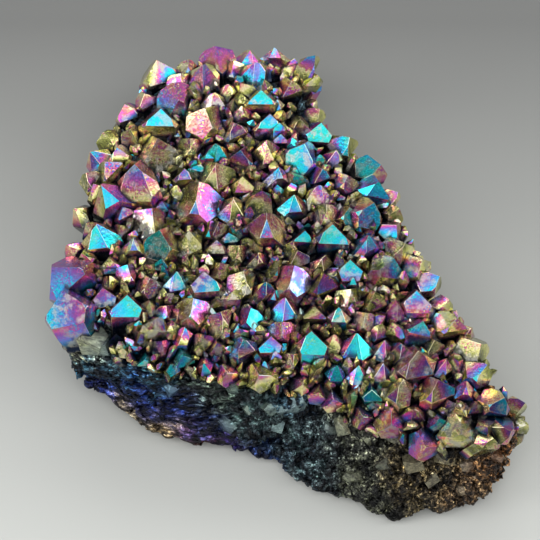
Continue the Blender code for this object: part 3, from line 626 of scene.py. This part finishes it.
# small crystals that fill what is left of the crust's floor
small_tries, small_widths, small_spacing, mostly_narrow = 90000, (2.0, 6.4), 0.39, 1.25
small_spread, small_lean, small_sway, small_rise = 46, 20, 30, (1.4, 4.4)
small = [row[:7] for row in corner_crystals]
cell = 4.0
near = {}
for one in grown + small:
    near.setdefault((int(one[0] // cell), int(one[1] // cell)), []).append(one)
tries = [(chance.uniform(-75, 75), chance.uniform(-64, 76)) for _ in range(small_tries)]
inwards, ways = edge_distances(*np.array(tries).T)
floors = crust_heights(*np.array(tries).T)
for (x, y), inward, way, floor_z in zip(tries, inwards, ways, floors):
    if inward < (-1.5 if y < -20 else -2.6) or (x < -52 and y < -19) or (x < -60 and inward < 2):
        continue          # past the slab's edge, or on the bare left tip
    width = small_widths[0] + (small_widths[1] - small_widths[0]) * chance.random() ** mostly_narrow
    here = (int(x // cell), int(y // cell))
    around = [one for i in range(-3, 4) for j in range(-3, 4)
              for one in near.get((here[0] + i, here[1] + j), ())]
    if any(math.hypot(x - one[0], y - one[1]) < small_spacing * (width + one[3]) for one in around):
        continue
    spread = small_spread * math.exp(-max(inward, 0) / 4)
    one = (x, y, floor_z + chance.uniform(*small_rise), width,
           way[0] * spread + chance.uniform(-small_sway, small_sway),
           way[1] * spread + small_lean + chance.uniform(-small_sway, small_sway),
           chance.uniform(0, 180))
    small.append(one)
    near.setdefault(here, []).append(one)
films += [row[7:] for row in corner_crystals]
films += [chance_film() for _ in small[len(corner_crystals):]]

# ---------------------------------------------------------------------- grown together
# Stone and crystals are one piece: they are joined in one closed skin by a Boolean union, and
# each of its faces still knows the crystal, block or grain that it belongs to.

edge_bevel, wide_crystal_width = 0.07, 6
most_steps, step_places, step_sizes, step_proud = 2, (0.55, 0.95), (0.34, 0.60), (0.12, 0.40)
small_crowding, small_stem, small_flat, small_long = 1.5, 2.0, (0.55, 0.95), (1.0, 1.35)
growth = bpy.data.collections.new("growth")
shoulders, axes, radii = [Vector((0, 0, 0))], [Vector((0, 0, 1))], [1.0]
film_pairs = [(0.0, 0.0)]


def grown_object(name, bm):
    """A mesh object from a bmesh."""
    mesh = bpy.data.meshes.new(name)
    bm.to_mesh(mesh)
    bm.free()
    return bpy.data.objects.new(name, mesh)


def add(name, bm, matrix, place, axis, size, film_pair=(0.0, 0.0)):
    """Adds a piece to the growth, and to the lists that its coating is worked out from."""
    bmesh.ops.transform(bm, matrix=matrix, verts=bm.verts[:])
    growth.objects.link(grown_object(f"{name}_{len(radii)}", bm))
    shoulders.append(place)
    axes.append(axis)
    radii.append(size)
    film_pairs.append(film_pair)


def grow(matrix, radius, stem, habit, film_pair, bevel_size=0.0):
    """Adds a crystal, placed and turned by the matrix."""
    bm = crystal(radius, stem, habit, len(radii), bevel_size)
    axis = matrix.to_3x3() @ Vector((0, 0, 1))
    add("crystal", bm, matrix, matrix.translation.copy(), axis, radius, film_pair)


stone.faces.layers.int.new("crystal")
stone.faces.layers.int.new("edging")
cluster = grown_object("amethyst_cluster_skin", stone)
bpy.context.scene.collection.objects.link(cluster)
for i, (x, y, z, width, east, north, ridge) in enumerate(grown + small):
    large = i < len(grown)
    radius = (crowding if large else small_crowding) * width / 2 / math.cos(math.radians(15))
    stem = stem_length if large else small_stem + width
    habit = habit_of(random.Random(seed * 100 + i))
    matrix = Matrix.Translation((x, y, z - sinking * radius)) @ lean_matrix(east, north, ridge)
    if not large:
        matrix @= Matrix.Diagonal((chance.uniform(*small_flat), chance.uniform(*small_long), 1, 1))
    grow(matrix, radius, stem, habit, films[i], edge_bevel if large and width > wide_crystal_width else 0.0)
    if not large:
        continue
    # crystals that grew on its end faces, parallel to it
    steps = chance.randrange(most_steps + 1) if width > wide_crystal_width else 0
    for _ in range(steps):
        out, turn = radius * chance.uniform(*step_places), chance.uniform(0, 2 * math.pi)
        size = radius * chance.uniform(*step_sizes)
        u, v = out * math.cos(turn), out * math.sin(turn)
        if edge_distance(*(matrix @ Vector((u, v, radius))).xy)[0] < size:
            continue
        step_habit = habit_of(chance)
        sunk = shoulder_to_tip * size * (1 - chance.uniform(*step_proud))
        rise = end_height(radius, habit, u, v) - sunk
        grow(matrix @ Matrix.Translation((u, v, rise)), size, 1.5 * size + 1, step_habit, films[i])

# where the wall is broken: above its foot, and not on its level parts
wall_foot, left_wall_foot, wall_top, wall_slope = 1.2, 2.8, 27, 0.75
wall = [(place, normal) for place, normal in wall_places
        if place.z > (wall_foot if place.x > -5 else left_wall_foot)
        and normal.z < wall_slope and place.z < wall_top]
front_wall = [(place, normal) for place, normal in wall if place.y < -4 - 0.30 * (place.x + 69)]
crystal_count = len(radii)


def broken_piece(across, cuts, nearest, farthest):
    """An angular piece of stone or quartz: a cube whose corners are broken off by slanting cuts."""
    bm = bmesh.new()
    bmesh.ops.create_cube(bm, size=across)
    for _ in range(cuts):
        way = Vector([chance.gauss(0, 1) for _ in range(3)]).normalized()
        cut_off(bm, way * chance.uniform(nearest, farthest), way)
    belongs = bm.faces.layers.int.new("crystal")
    bm.faces.layers.int.new("edging")
    for face in bm.faces:
        face[belongs] = len(radii)
    return bm


# bare blocks of grey-green quartz in the wall under the crust: x, height, width, length over width
bare_blocks = (
    (-60.5, 24, 8.5, 1.4), (-57, 23, 6.5, 1.4), (-36, 18, 3.5, 1.8), (-25, 22, 3.5, 1.2), (-15, 23, 5, 1.2),
    (-12, 17, 3.5, 1.0), (-5, 21, 4, 1.2), (1, 21, 5.5, 1.8), (13, 18, 3.5, 1.2),
    (24, 19, 4.5, 1.1), (29, 15, 4, 1.0), (32, 20, 4.5, 1.2), (37.5, 17, 6, 1.1), (43, 13, 3.5, 1.3),
    (48, 18, 5.5, 1.2), (41, 22, 5, 1.2), (53, 10, 3.5, 1.1), (55, 18, 4.5, 1.3), (58, 14, 4, 1.2),
    (62, 18, 5, 1.2), (20, 11, 4, 1.4), (9, 21, 4, 1.4),
    (-18, 11, 4, 1.4), (-2, 13, 4, 1.3), (57, 7, 4.5, 1.2),
    (63, 12, 5, 1.2), (46, 20, 4, 1.0), (16, 21, 4.5, 1.3), (66, 18, 5, 1.3),
)
block_cube, block_cuts, block_reach, block_sunk, block_turn = 0.95, 5, (0.36, 0.55), 0.16, (0.5, 0.6)
for x, z, width, longer in bare_blocks:
    place, normal = min(front_wall, key=lambda spot: math.hypot(spot[0].x - x, spot[0].z - z))
    bm = broken_piece(width * block_cube, block_cuts, *(width * reach for reach in block_reach))
    tip, spin = block_turn
    turned = Euler((chance.uniform(-tip, tip), chance.uniform(-tip, tip), chance.uniform(-spin, spin)))
    matrix = (Matrix.Translation(place - normal * width * block_sunk)
              @ (normal.to_track_quat("Z", "Y") @ turned.to_quaternion()).to_matrix().to_4x4()
              @ Matrix.Diagonal((longer, 1, 0.9, 1)))
    add("block", bm, matrix, place, normal, width)
block_count = len(radii)

# angular grains of broken stone and quartz that stand in the wall: count, least and most radius
loose_grains = ((50, 1.3, 2.3), (320, 0.8, 1.4), (1300, 0.4, 0.8))
loose_cuts, loose_reach, loose_sunk, loose_flat = 6, (0.62, 1.0), 0.5, 0.62
front_share, small_underneath, low_grain = 0.8, 0.6, 0.7
for count, least, most in loose_grains:
    for _ in range(count):
        place, normal = chance.choice(front_wall if chance.random() < front_share else wall)
        size = chance.uniform(least, most) * (1.0 if normal.z > 0.1 else small_underneath)
        if place.z < 7 or place.x < -52:
            size = min(size, low_grain)
        flaky = flakiness(place.x)
        stretch = Matrix.Diagonal((1 + 1.1 * flaky, 1 - 0.35 * flaky, loose_flat, 1))
        spin = Matrix.Rotation(chance.uniform(0, 6.3), 4, [chance.gauss(0, 1) for _ in range(3)])
        matrix = (Matrix.Translation(place - normal * size * loose_sunk)
                  @ normal.to_track_quat("Z", "Y").to_matrix().to_4x4()
                  @ Matrix.Rotation(math.radians(-32 * flaky), 4, "Z") @ stretch @ spin)
        bm = broken_piece(2 * size, loose_cuts, *(size * reach for reach in loose_reach))
        add("grain", bm, matrix, place, normal, size)

join = cluster.modifiers.new("grown together", "BOOLEAN")
join.operation, join.operand_type, join.collection = "UNION", "COLLECTION", growth
join.solver = "MANIFOLD"
joined = cluster.evaluated_get(bpy.context.evaluated_depsgraph_get())
skin = bpy.data.meshes.new_from_object(joined)
cluster.modifiers.clear()
cluster.data = skin
for one in list(growth.objects):
    bpy.data.objects.remove(one, do_unlink=True)
bpy.data.collections.remove(growth)

# ------------------------------------------------------------------ thickness of the coating
# A film of metal oxides, sprayed as a vapour and fused onto the quartz. It is thicker at a crystal's tip
# and deep between crystals. The spray's way is the key light's and the camera's: faces turned towards it
# take the upper film and the others the lower, partly the coating's own colours and partly painted light,
# bright where a face meets the key light and dark bronze where it is turned away.

# the spray's way is the same as the camera's view and the key light, steeply from above the front
spray_and_light_rise = math.radians(66)                     # the spray came steeply from above the front
spray_and_key_light = np.array((0, -math.cos(spray_and_light_rise), math.sin(spray_and_light_rise)))
square_from, square_span = 0.62, 0.30             # how squarely a face met it
face_change, tip_gain, hollow_gain = 60, 80, 150  # nanometres
fade_least, fade_more, fade_radius = 60, 170, 6.5
hollow_height, hollow_depth = 4.2, 2.6
film_least, film_most = 365, 715
hanging_below, hanging_height = 20, 7.0


def mesh_numbers(items, name, per_item=1, kind=np.int32):
    """One property of all of a mesh's vertices, edges, corners or faces."""
    numbers = np.zeros(len(items) * per_item, kind)
    items.foreach_get(name, numbers)
    return numbers.reshape(-1, per_item) if per_item > 1 else numbers


ids = mesh_numbers(skin.attributes["crystal"].data, "value")
edging = mesh_numbers(skin.attributes["edging"].data, "value")
edging[(ids >= crystal_count) & (ids < block_count)] = 1
places = mesh_numbers(skin.vertices, "co", 3, float)
corner_verts = mesh_numbers(skin.loops, "vertex_index")
corners = places[corner_verts]
face_of = np.repeat(np.arange(len(skin.polygons)), mesh_numbers(skin.polygons, "loop_total"))
corner_ids = ids[face_of]
corner_normals = mesh_numbers(skin.polygons, "normal", 3, float)[face_of]
shoulders, axes, radii = np.array(shoulders), np.array(axes), np.array(radii)
upper, lower = np.array(film_pairs)[corner_ids].T
climb = ((corners - shoulders[corner_ids]) * axes[corner_ids]).sum(1) / (
    shoulder_to_tip * radii[corner_ids])
facing = corner_normals @ spray_and_key_light
turned = np.clip((facing - square_from) / square_span, 0, 1)
turned = turned * turned * (3 - 2 * turned)


def scatter(salt):
    """A number from 0 to 1 for every corner, the same all over one face of one crystal."""
    mixed = np.round(corner_normals, 2) @ np.array([12.99, 78.23, 37.72]) + corner_ids * 0.618 + salt
    return np.sin(mixed) * 43758.5 % 1.0


# it fades across each face in a way of its own, less over the largest crystals
across = np.column_stack([-corner_normals[:, 1], corner_normals[:, 0], np.zeros(len(corners))])
across /= np.maximum(np.linalg.norm(across, axis=1), 1e-6)[:, None]
upwards = np.cross(corner_normals, across)
turn = scatter(0.0) * 2 * np.pi
fade_way = across * np.cos(turn)[:, None] + upwards * np.sin(turn)[:, None]
middles = shoulders[corner_ids] + axes[corner_ids] * (0.5 * radii[corner_ids])[:, None]
even = np.minimum(1.0, fade_radius / radii[corner_ids])
fade = even * ((corners - middles) * fade_way).sum(1) / radii[corner_ids]
# faces turned to the key light take the upper film, those turned away the lower, darker one: partly the
# coating's colours, partly painted light
film = lower + (upper - lower) * turned + (scatter(1.7) - 0.5) * face_change
film += fade * (fade_least + fade_more * scatter(3.1)) * (0.45 + 0.65 * turned)
film += tip_gain * even * (np.clip(climb, -0.6, 1.1) - 0.45) * (0.3 + 0.7 * turned)
above = places[:, 2] - crust_heights(places[:, 0], places[:, 1])
height = np.where(shoulders[corner_ids][:, 2] < hanging_below, hanging_height, above[corner_verts])
film += hollow_gain * np.clip((hollow_height - height) / hollow_depth, 0, 1) ** 2
film = np.clip(film, film_least, film_most)

# how bright a facet is: it differs from facet to facet at random, and is brighter towards the slab's edge
# and its far end. Painted light too: faces that meet the key light squarely are dimmed to hold back their
# highlight, and faces turned away from it are darkened as painted shade.
thick_film, dullest = 590, 0.58
rim_width, rim_gain, far_from, far_run, far_gain = 26, 0.48, 25, 35, 0.40
shade = 1.24 - dullest * scatter(5.3) ** 1.3 * np.where(film > thick_film, 0.35, 1.0)
# painted light: dimmed where a face meets the key light squarely, painted shade where it is turned away
shade *= (1 - 0.42 * turned) * np.clip(0.72 + 1.2 * (facing - 0.25), 0.62, 1.0)
inland = edge_distances(places[:, 0], places[:, 1])[0][corner_verts]
far_end = np.clip((corners[:, 1] - far_from) / far_run, 0, 1)
behind_front = np.clip((corners[:, 1] + 52) / 26, 0.1, 1)
shade *= 0.80 + rim_gain * behind_front * np.clip(1 - inland / rim_width, 0, 1) + far_gain * far_end

# one number by chance for each crystal and grain: how frosted it is, or how pale; the slab's is
# fixed, and the crystals at the far left carry more frost
slab_luck = 0.45
luck = np.array([slab_luck] + [chance.random() for _ in radii[1:]])[corner_ids]
frosted_end = 0.8 + 0.6 * far_end * np.clip(-corners[:, 0] / 30, 0, 1)
luck = np.where(corner_ids > 0, luck * frosted_end, luck)

# painted shade: the seams where two crystals meet are darkened
corner_edges = mesh_numbers(skin.loops, "edge_index")
least, most = np.full(len(skin.edges), len(radii)), np.full(len(skin.edges), -1)
np.minimum.at(least, corner_edges, corner_ids)
np.maximum.at(most, corner_edges, corner_ids)
seam_shade_mask = np.zeros(len(places))
seam_shade_mask[mesh_numbers(skin.edges, "vertices", 2)[least != most].ravel()] = 1.0

for name, values in (("film", film), ("shade", shade), ("seam_shade", seam_shade_mask[corner_verts]),
                     ("above", height), ("edge", edging[face_of]), ("luck", luck)):
    layer = skin.attributes.new(name, "FLOAT", "CORNER")
    layer.data.foreach_set("value", values.astype(np.float32))

# ---------------------------------------------------------------- rainbow coating
# The same film's colours: they go by its thickness, from straw and bronze through magenta,
# violet and blue to turquoise. It is glossy, with a fine grit and patches of frost.

film_colours = (
    (340, (0.25, 0.25, 0.14)), (368, (0.115, 0.115, 0.035)), (392, (0.28, 0.295, 0.080)),
    (415, (0.55, 0.555, 0.17)), (438, (0.82, 0.75, 0.31)), (455, (0.92, 0.76, 0.43)),
    (470, (0.84, 0.46, 0.30)), (486, (0.56, 0.16, 0.17)), (512, (0.64, 0.13, 0.42)),
    (545, (0.30, 0.10, 0.44)), (580, (0.16, 0.22, 0.64)), (622, (0.03, 0.44, 0.76)),
    (680, (0.02, 0.62, 0.66)), (740, (0.05, 0.50, 0.38)), (800, (0.40, 0.72, 0.36)),
)
thinnest, thickest = film_colours[0][0], film_colours[-1][0]
# painted shade in the seams and the hollows between crystals: near-black blue
seam_shade_colour, hollow_shade_colour = (0.010, 0.014, 0.030), (0.008, 0.016, 0.040)
# painted highlight: the pale colour on the bevelled edges; then the grey of frost
edge_highlight_colour, frost_colour = (0.78, 0.72, 0.50), (0.46, 0.44, 0.39)
black, white = (0, 0, 0), (1, 1, 1)


def mm_scale(tree, size):
    """A pattern's scale from the size of its grain in millimetres."""
    node = tree.nodes.new("ShaderNodeMath")
    node.operation = "DIVIDE"
    node.inputs[0].default_value = 1 / MM
    tree.links.new(size, node.inputs[1])
    return node.outputs[0]


def new_effect(name, pattern, inputs, outputs):
    """A shared effect: one pattern whose grain is given in millimetres."""
    group = bpy.data.node_groups.new(name, "ShaderNodeTree")
    group.interface.new_socket(name="Place", in_out="INPUT", socket_type="NodeSocketVector")
    for socket in ("Size", *inputs):
        group.interface.new_socket(name=socket, in_out="INPUT", socket_type="NodeSocketFloat")
    for socket, kind in outputs:
        group.interface.new_socket(name=socket, in_out="OUTPUT", socket_type=kind)
    given, result = group.nodes.new("NodeGroupInput"), group.nodes.new("NodeGroupOutput")
    node = group.nodes.new(pattern)
    group.links.new(given.outputs["Place"], node.inputs["Vector"])
    group.links.new(mm_scale(group, given.outputs["Size"]), node.inputs["Scale"])
    for socket in inputs:
        group.links.new(given.outputs[socket], node.inputs[socket])
    return group, node, result


mottling, node, result = new_effect("mottling", "ShaderNodeTexNoise", ("Detail", "Roughness"),
                                    [("Value", "NodeSocketFloat")])
mottling.links.new(node.outputs["Fac"], result.inputs["Value"])

# chips, each with a colour by chance, and how far a place is from its chip's middle
chips, node, result = new_effect("chips", "ShaderNodeTexVoronoi", (), [
    ("Colour", "NodeSocketColor"), ("Middle", "NodeSocketFloat")])
chips.links.new(node.outputs["Color"], result.inputs["Colour"])
chips.links.new(node.outputs["Distance"], result.inputs["Middle"])


def effect(tree, group, place, *numbers):
    """Places a shared effect in a material, with the material's own values."""
    node = tree.nodes.new("ShaderNodeGroup")
    node.node_tree = group
    for socket, value in zip(node.inputs, (place, *numbers)):
        feed(tree, socket, value)
    return node.outputs


def mottle(tree, place, size, detail=2.0, rough=0.5):
    """Soft patches of a size in millimetres, around a half."""
    return effect(tree, mottling, place, size, detail, rough)["Value"]


def stored(tree, name):
    """A number stored on the corners of the mesh."""
    node = tree.nodes.new("ShaderNodeAttribute")
    node.attribute_name = name
    return node.outputs["Fac"]


def work_out(tree, operation, first, second):
    """Arithmetic on two values."""
    node = tree.nodes.new("ShaderNodeMath")
    node.operation = operation
    feed(tree, node.inputs[0], first)
    feed(tree, node.inputs[1], second)
    return node.outputs[0]


def blend(tree, amount, first, second, kind="MIX"):
    """Blends two colours: a Mix node takes them in its sockets 6 and 7, and gives socket 2."""
    node = tree.nodes.new("ShaderNodeMix")
    node.data_type, node.blend_type = "RGBA", kind
    for number, value in ((0, amount), (6, first), (7, second)):
        feed(tree, node.inputs[number], value)
    return node.outputs[2]


def tinted(tree, first, second):
    """One colour multiplied by another."""
    return blend(tree, 1.0, first, second, "MULTIPLY")


def swing(tree, value, width):
    """Turns a value around a half into one around nought, as wide as width."""
    return work_out(tree, "MULTIPLY", work_out(tree, "SUBTRACT", value, 0.5), width)


quartz, tree, shader = new_finish("aura_coated_quartz")
coords = tree.nodes.new("ShaderNodeTexCoord").outputs["Object"]

# the film's thickness varies in soft clouds and, where it is frosted, from speck to speck
cloud_size, cloud_change = 7.0, 110
grit_size, grit_bed, speck_least, speck_more = 0.42, 0.8, 45, 190
split = tree.nodes.new("ShaderNodeSeparateColor")
feed(tree, split.inputs["Color"], effect(tree, chips, coords, grit_size)["Colour"])
grit = work_out(tree, "ADD", split.outputs["Red"], mottle(tree, coords, grit_bed))
speck = work_out(tree, "MULTIPLY", grit, 0.5)
frosted = ramp(tree, mottle(tree, coords, 3.5, 4, 0.6), (0.50, black), (0.60, white))
speck_width = work_out(tree, "ADD", work_out(tree, "MULTIPLY", frosted, speck_more), speck_least)
clouds = swing(tree, mottle(tree, coords, cloud_size), cloud_change)
thickness = work_out(tree, "ADD", stored(tree, "film"), clouds)
thickness = work_out(tree, "ADD", thickness, swing(tree, speck, speck_width))
share = carry(tree, thickness, thinnest, thickest)
colour = ramp(tree, share, *(((nm - thinnest) / (thickest - thinnest), tone)
                             for nm, tone in film_colours))

# painted shade darkens it in the seams and hollows between crystals, a painted highlight makes it pale
# along the bevelled edges, and frost dulls it
seam_shade_most, edge_highlight_share, frost_share = 0.85, 0.45, 0.95
colour = tinted(tree, colour, stored(tree, "shade"))
seam_shade = carry(tree, stored(tree, "seam_shade"), 0.66, 1.0, 0.0, seam_shade_most, eased=True)
colour = blend(tree, seam_shade, colour, seam_shade_colour)
# painted shade: low between crystals the colour goes to near-black blue
hollow_shade = carry(tree, stored(tree, "above"), 4.0, 1.0, eased=True)
colour = blend(tree, hollow_shade, colour, hollow_shade_colour)
# painted highlight: the bevelled edges are turned pale
wear_and_highlight = work_out(tree, "MULTIPLY", stored(tree, "edge"), edge_highlight_share)
colour = blend(tree, wear_and_highlight, colour, edge_highlight_colour)
frost = ramp(tree, mottle(tree, coords, 2.6, 4, 0.6), (0.47, black), (0.60, white))
frost = work_out(tree, "MULTIPLY", frost, work_out(tree, "MULTIPLY", stored(tree, "luck"), frost_share))
feed(tree, shader.inputs["Base Color"], blend(tree, frost, colour, frost_colour))

shader.inputs["Metallic"].default_value = 0.9
gloss = carry(tree, mottle(tree, coords, 1.6, 3), 0.0, 1.0, 0.08, 0.26)
feed(tree, shader.inputs["Roughness"], gloss)
bump = tree.nodes.new("ShaderNodeBump")
bump.inputs["Strength"].default_value = 0.5
bump.inputs["Distance"].default_value = 0.10 * MM
feed(tree, bump.inputs["Height"], speck)
feed(tree, shader.inputs["Normal"], bump.outputs["Normal"])

# ---------------------------------------------------------------- stone finish
# Grey-green volcanic stone under the same spray: steel blue and indigo on the left, grey-green grains in
# the middle, brown and rust to the right. Broken chips in it carry painted glints.

rock, tree, shader = new_finish("matrix_stone")
coords = tree.nodes.new("ShaderNodeTexCoord").outputs["Object"]
split = tree.nodes.new("ShaderNodeSeparateXYZ")
feed(tree, split.inputs["Vector"], coords)
flaky = carry(tree, split.outputs["X"], 8 * MM, -22 * MM)
layers = tree.nodes.new("ShaderNodeMapping")
layers.inputs["Rotation"].default_value = (0, math.radians(-34), 0)
layers.inputs["Scale"].default_value = (0.34, 0.8, 1.35)
feed(tree, layers.inputs["Vector"], coords)
layers = layers.outputs["Vector"]

grain = blend(tree, flaky, mottle(tree, coords, 1.3, 4, 0.7), mottle(tree, layers, 1.1, 4, 0.65))
round_chips, flat_chips = effect(tree, chips, coords, 0.8), effect(tree, chips, layers, 0.95)
chip = tree.nodes.new("ShaderNodeSeparateColor")
feed(tree, chip.inputs["Color"], blend(tree, flaky, round_chips["Colour"], flat_chips["Colour"]))
chip_middle = blend(tree, flaky, round_chips["Middle"], flat_chips["Middle"])

stain = tree.nodes.new("ShaderNodeAttribute")
stain.attribute_name = "stain"
stain = stain.outputs["Color"]
# painted shade: dark and pale patches a few millimetres wide, the dark ones painted as the shade of hollows
hollow_shade_patches = ramp(tree, mottle(tree, coords, 5.0), (0.40, (0.13, 0.13, 0.17)),
               (0.50, (0.8, 0.8, 0.8)), (0.62, (1.6, 1.6, 1.5)))
dark_light = ramp(tree, grain, (0.38, (0.05, 0.05, 0.08)), (0.5, (0.62, 0.62, 0.64)),
                  (0.62, (2.9, 2.9, 2.7)))
# painted glints: a share of the chips is made several times brighter in the base colour
painted_glint = ramp(tree, chip.outputs["Red"], (0.0, (0.3, 0.3, 0.33)), (0.55, (0.8, 0.8, 0.8)),
             (0.8, (1.4, 1.4, 1.4)), (1.0, (3.8, 3.8, 3.6)))
tone = ramp(tree, stored(tree, "luck"), (0.0, (0.15, 0.15, 0.18)), (0.5, (0.6, 0.6, 0.6)),
            (0.8, (1.1, 1.1, 1.05)), (1.0, (2.4, 2.4, 2.1)))
colour = tinted(tree, tinted(tree, tinted(tree, tinted(tree, stain, hollow_shade_patches), dark_light), painted_glint), tone)

# the bare blocks are paler and smoother, with fine grooves
bare = ramp(tree, stored(tree, "luck"), (0.0, (0.04, 0.07, 0.10)), (0.4, (0.12, 0.15, 0.14)),
            (0.75, (0.18, 0.18, 0.11)), (1.0, (0.28, 0.27, 0.18)))
bare = blend(tree, 0.5, bare, tinted(tree, stain, (1.6, 1.6, 1.5)))
grooves = ramp(tree, grain, (0.36, (0.35, 0.35, 0.4)), (0.5, (0.95, 0.95, 0.95)),
               (0.64, (1.5, 1.5, 1.4)))
colour = blend(tree, stored(tree, "edge"), colour, tinted(tree, bare, grooves))
feed(tree, shader.inputs["Base Color"], colour)

shader.inputs["Metallic"].default_value = 0.55
feed(tree, shader.inputs["Roughness"], carry(tree, chip.outputs["Green"], 0.0, 1.0, 0.18, 0.5))
bump = tree.nodes.new("ShaderNodeBump")
bump.inputs["Distance"].default_value = 0.5 * MM
feed(tree, bump.inputs["Strength"], carry(tree, stored(tree, "edge"), 0.0, 1.0, 1.0, 0.25))
feed(tree, bump.inputs["Height"], work_out(tree, "SUBTRACT", grain, chip_middle))
feed(tree, shader.inputs["Normal"], bump.outputs["Normal"])

# stains that blend into each other over the wall: x, height, reach and colour
stains = (
    (-64, 23, 6, (0.36, 0.36, 0.24)), (-57, 22, 5, (0.24, 0.28, 0.24)), (-62, 14, 6, (0.03, 0.12, 0.20)),
    (-52, 17, 7, (0.04, 0.13, 0.20)), (-55, 9, 6, (0.025, 0.04, 0.27)), (-45, 13, 7, (0.02, 0.04, 0.28)),
    (-46, 4, 5.5, (0.50, 0.40, 0.24)), (-38, 3, 6, (0.46, 0.33, 0.17)), (-34, 12, 7, (0.02, 0.05, 0.27)),
    (-38, 20, 6, (0.05, 0.13, 0.17)), (-27, 3, 6.5, (0.17, 0.045, 0.02)), (-24, 10, 6, (0.02, 0.05, 0.25)),
    (-15, 3.5, 5, (0.05, 0.03, 0.22)), (-24, 18, 8, (0.14, 0.19, 0.16)), (-8, 13, 9, (0.12, 0.19, 0.20)),
    (-8, 3, 6, (0.02, 0.05, 0.24)), (2, 22, 5, (0.09, 0.18, 0.26)), (8, 12, 9, (0.12, 0.18, 0.21)),
    (20, 16, 10, (0.18, 0.19, 0.15)), (24, 4, 8, (0.13, 0.135, 0.10)), (40, 14, 10, (0.18, 0.14, 0.08)),
    (52, 6, 9, (0.26, 0.17, 0.10)), (44, 2, 7, (0.12, 0.10, 0.06)), (62, 14, 7, (0.25, 0.13, 0.06)),
    (68, 20, 5, (0.42, 0.18, 0.06)),
)
drift_size, drift, stain_edge, between_shade_share = 4.5, 4.5, 1.8, 0.15
patch_at = np.array([row[:2] for row in stains], float)
patch_reach = np.array([row[2] for row in stains], float)
patch_colour = np.array([row[3] for row in stains], float)
spots = places.copy()
for i in np.unique(corner_verts[corner_ids == 0]):
    spots[i] += np.array(noise.noise_vector(Vector(spots[i]) / drift_size)) * drift
inward, _ = edge_distances(spots[:, 0], spots[:, 1])
shaded_between = (inward > 1.5) & (spots[:, 2] > 18)            # under the crust, between the crystals
apart = np.hypot(spots[:, None, 0] - patch_at[:, 0], spots[:, None, 2] - patch_at[:, 1]) / patch_reach
weight = np.exp(-apart * apart * stain_edge) + 1e-9
tint = (weight[:, :, None] * patch_colour).sum(1) / weight.sum(1, keepdims=True)
# painted shade: the stone seen between the crystals under the crust is darkened to a small share of its
# stain
tint[shaded_between] *= between_shade_share
stain_layer = skin.attributes.new("stain", "FLOAT_COLOR", "POINT")
stain_layer.data.foreach_set("color", np.insert(tint, 3, 1.0, axis=1).astype(np.float32).ravel())

# ------------------------------------------------------------------------ the finished piece
# Stone and crystals in their finishes, at real size and in place on the part's frame.

skin.materials.clear()
skin.materials.append(rock)
skin.materials.append(quartz)
coated = (ids > 0) & (ids < crystal_count)
skin.polygons.foreach_set("material_index", coated.astype(np.int32))
skin.transform(Matrix.Scale(MM, 4))
skin.update()
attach(cluster, "root")
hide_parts("amethyst_cluster")
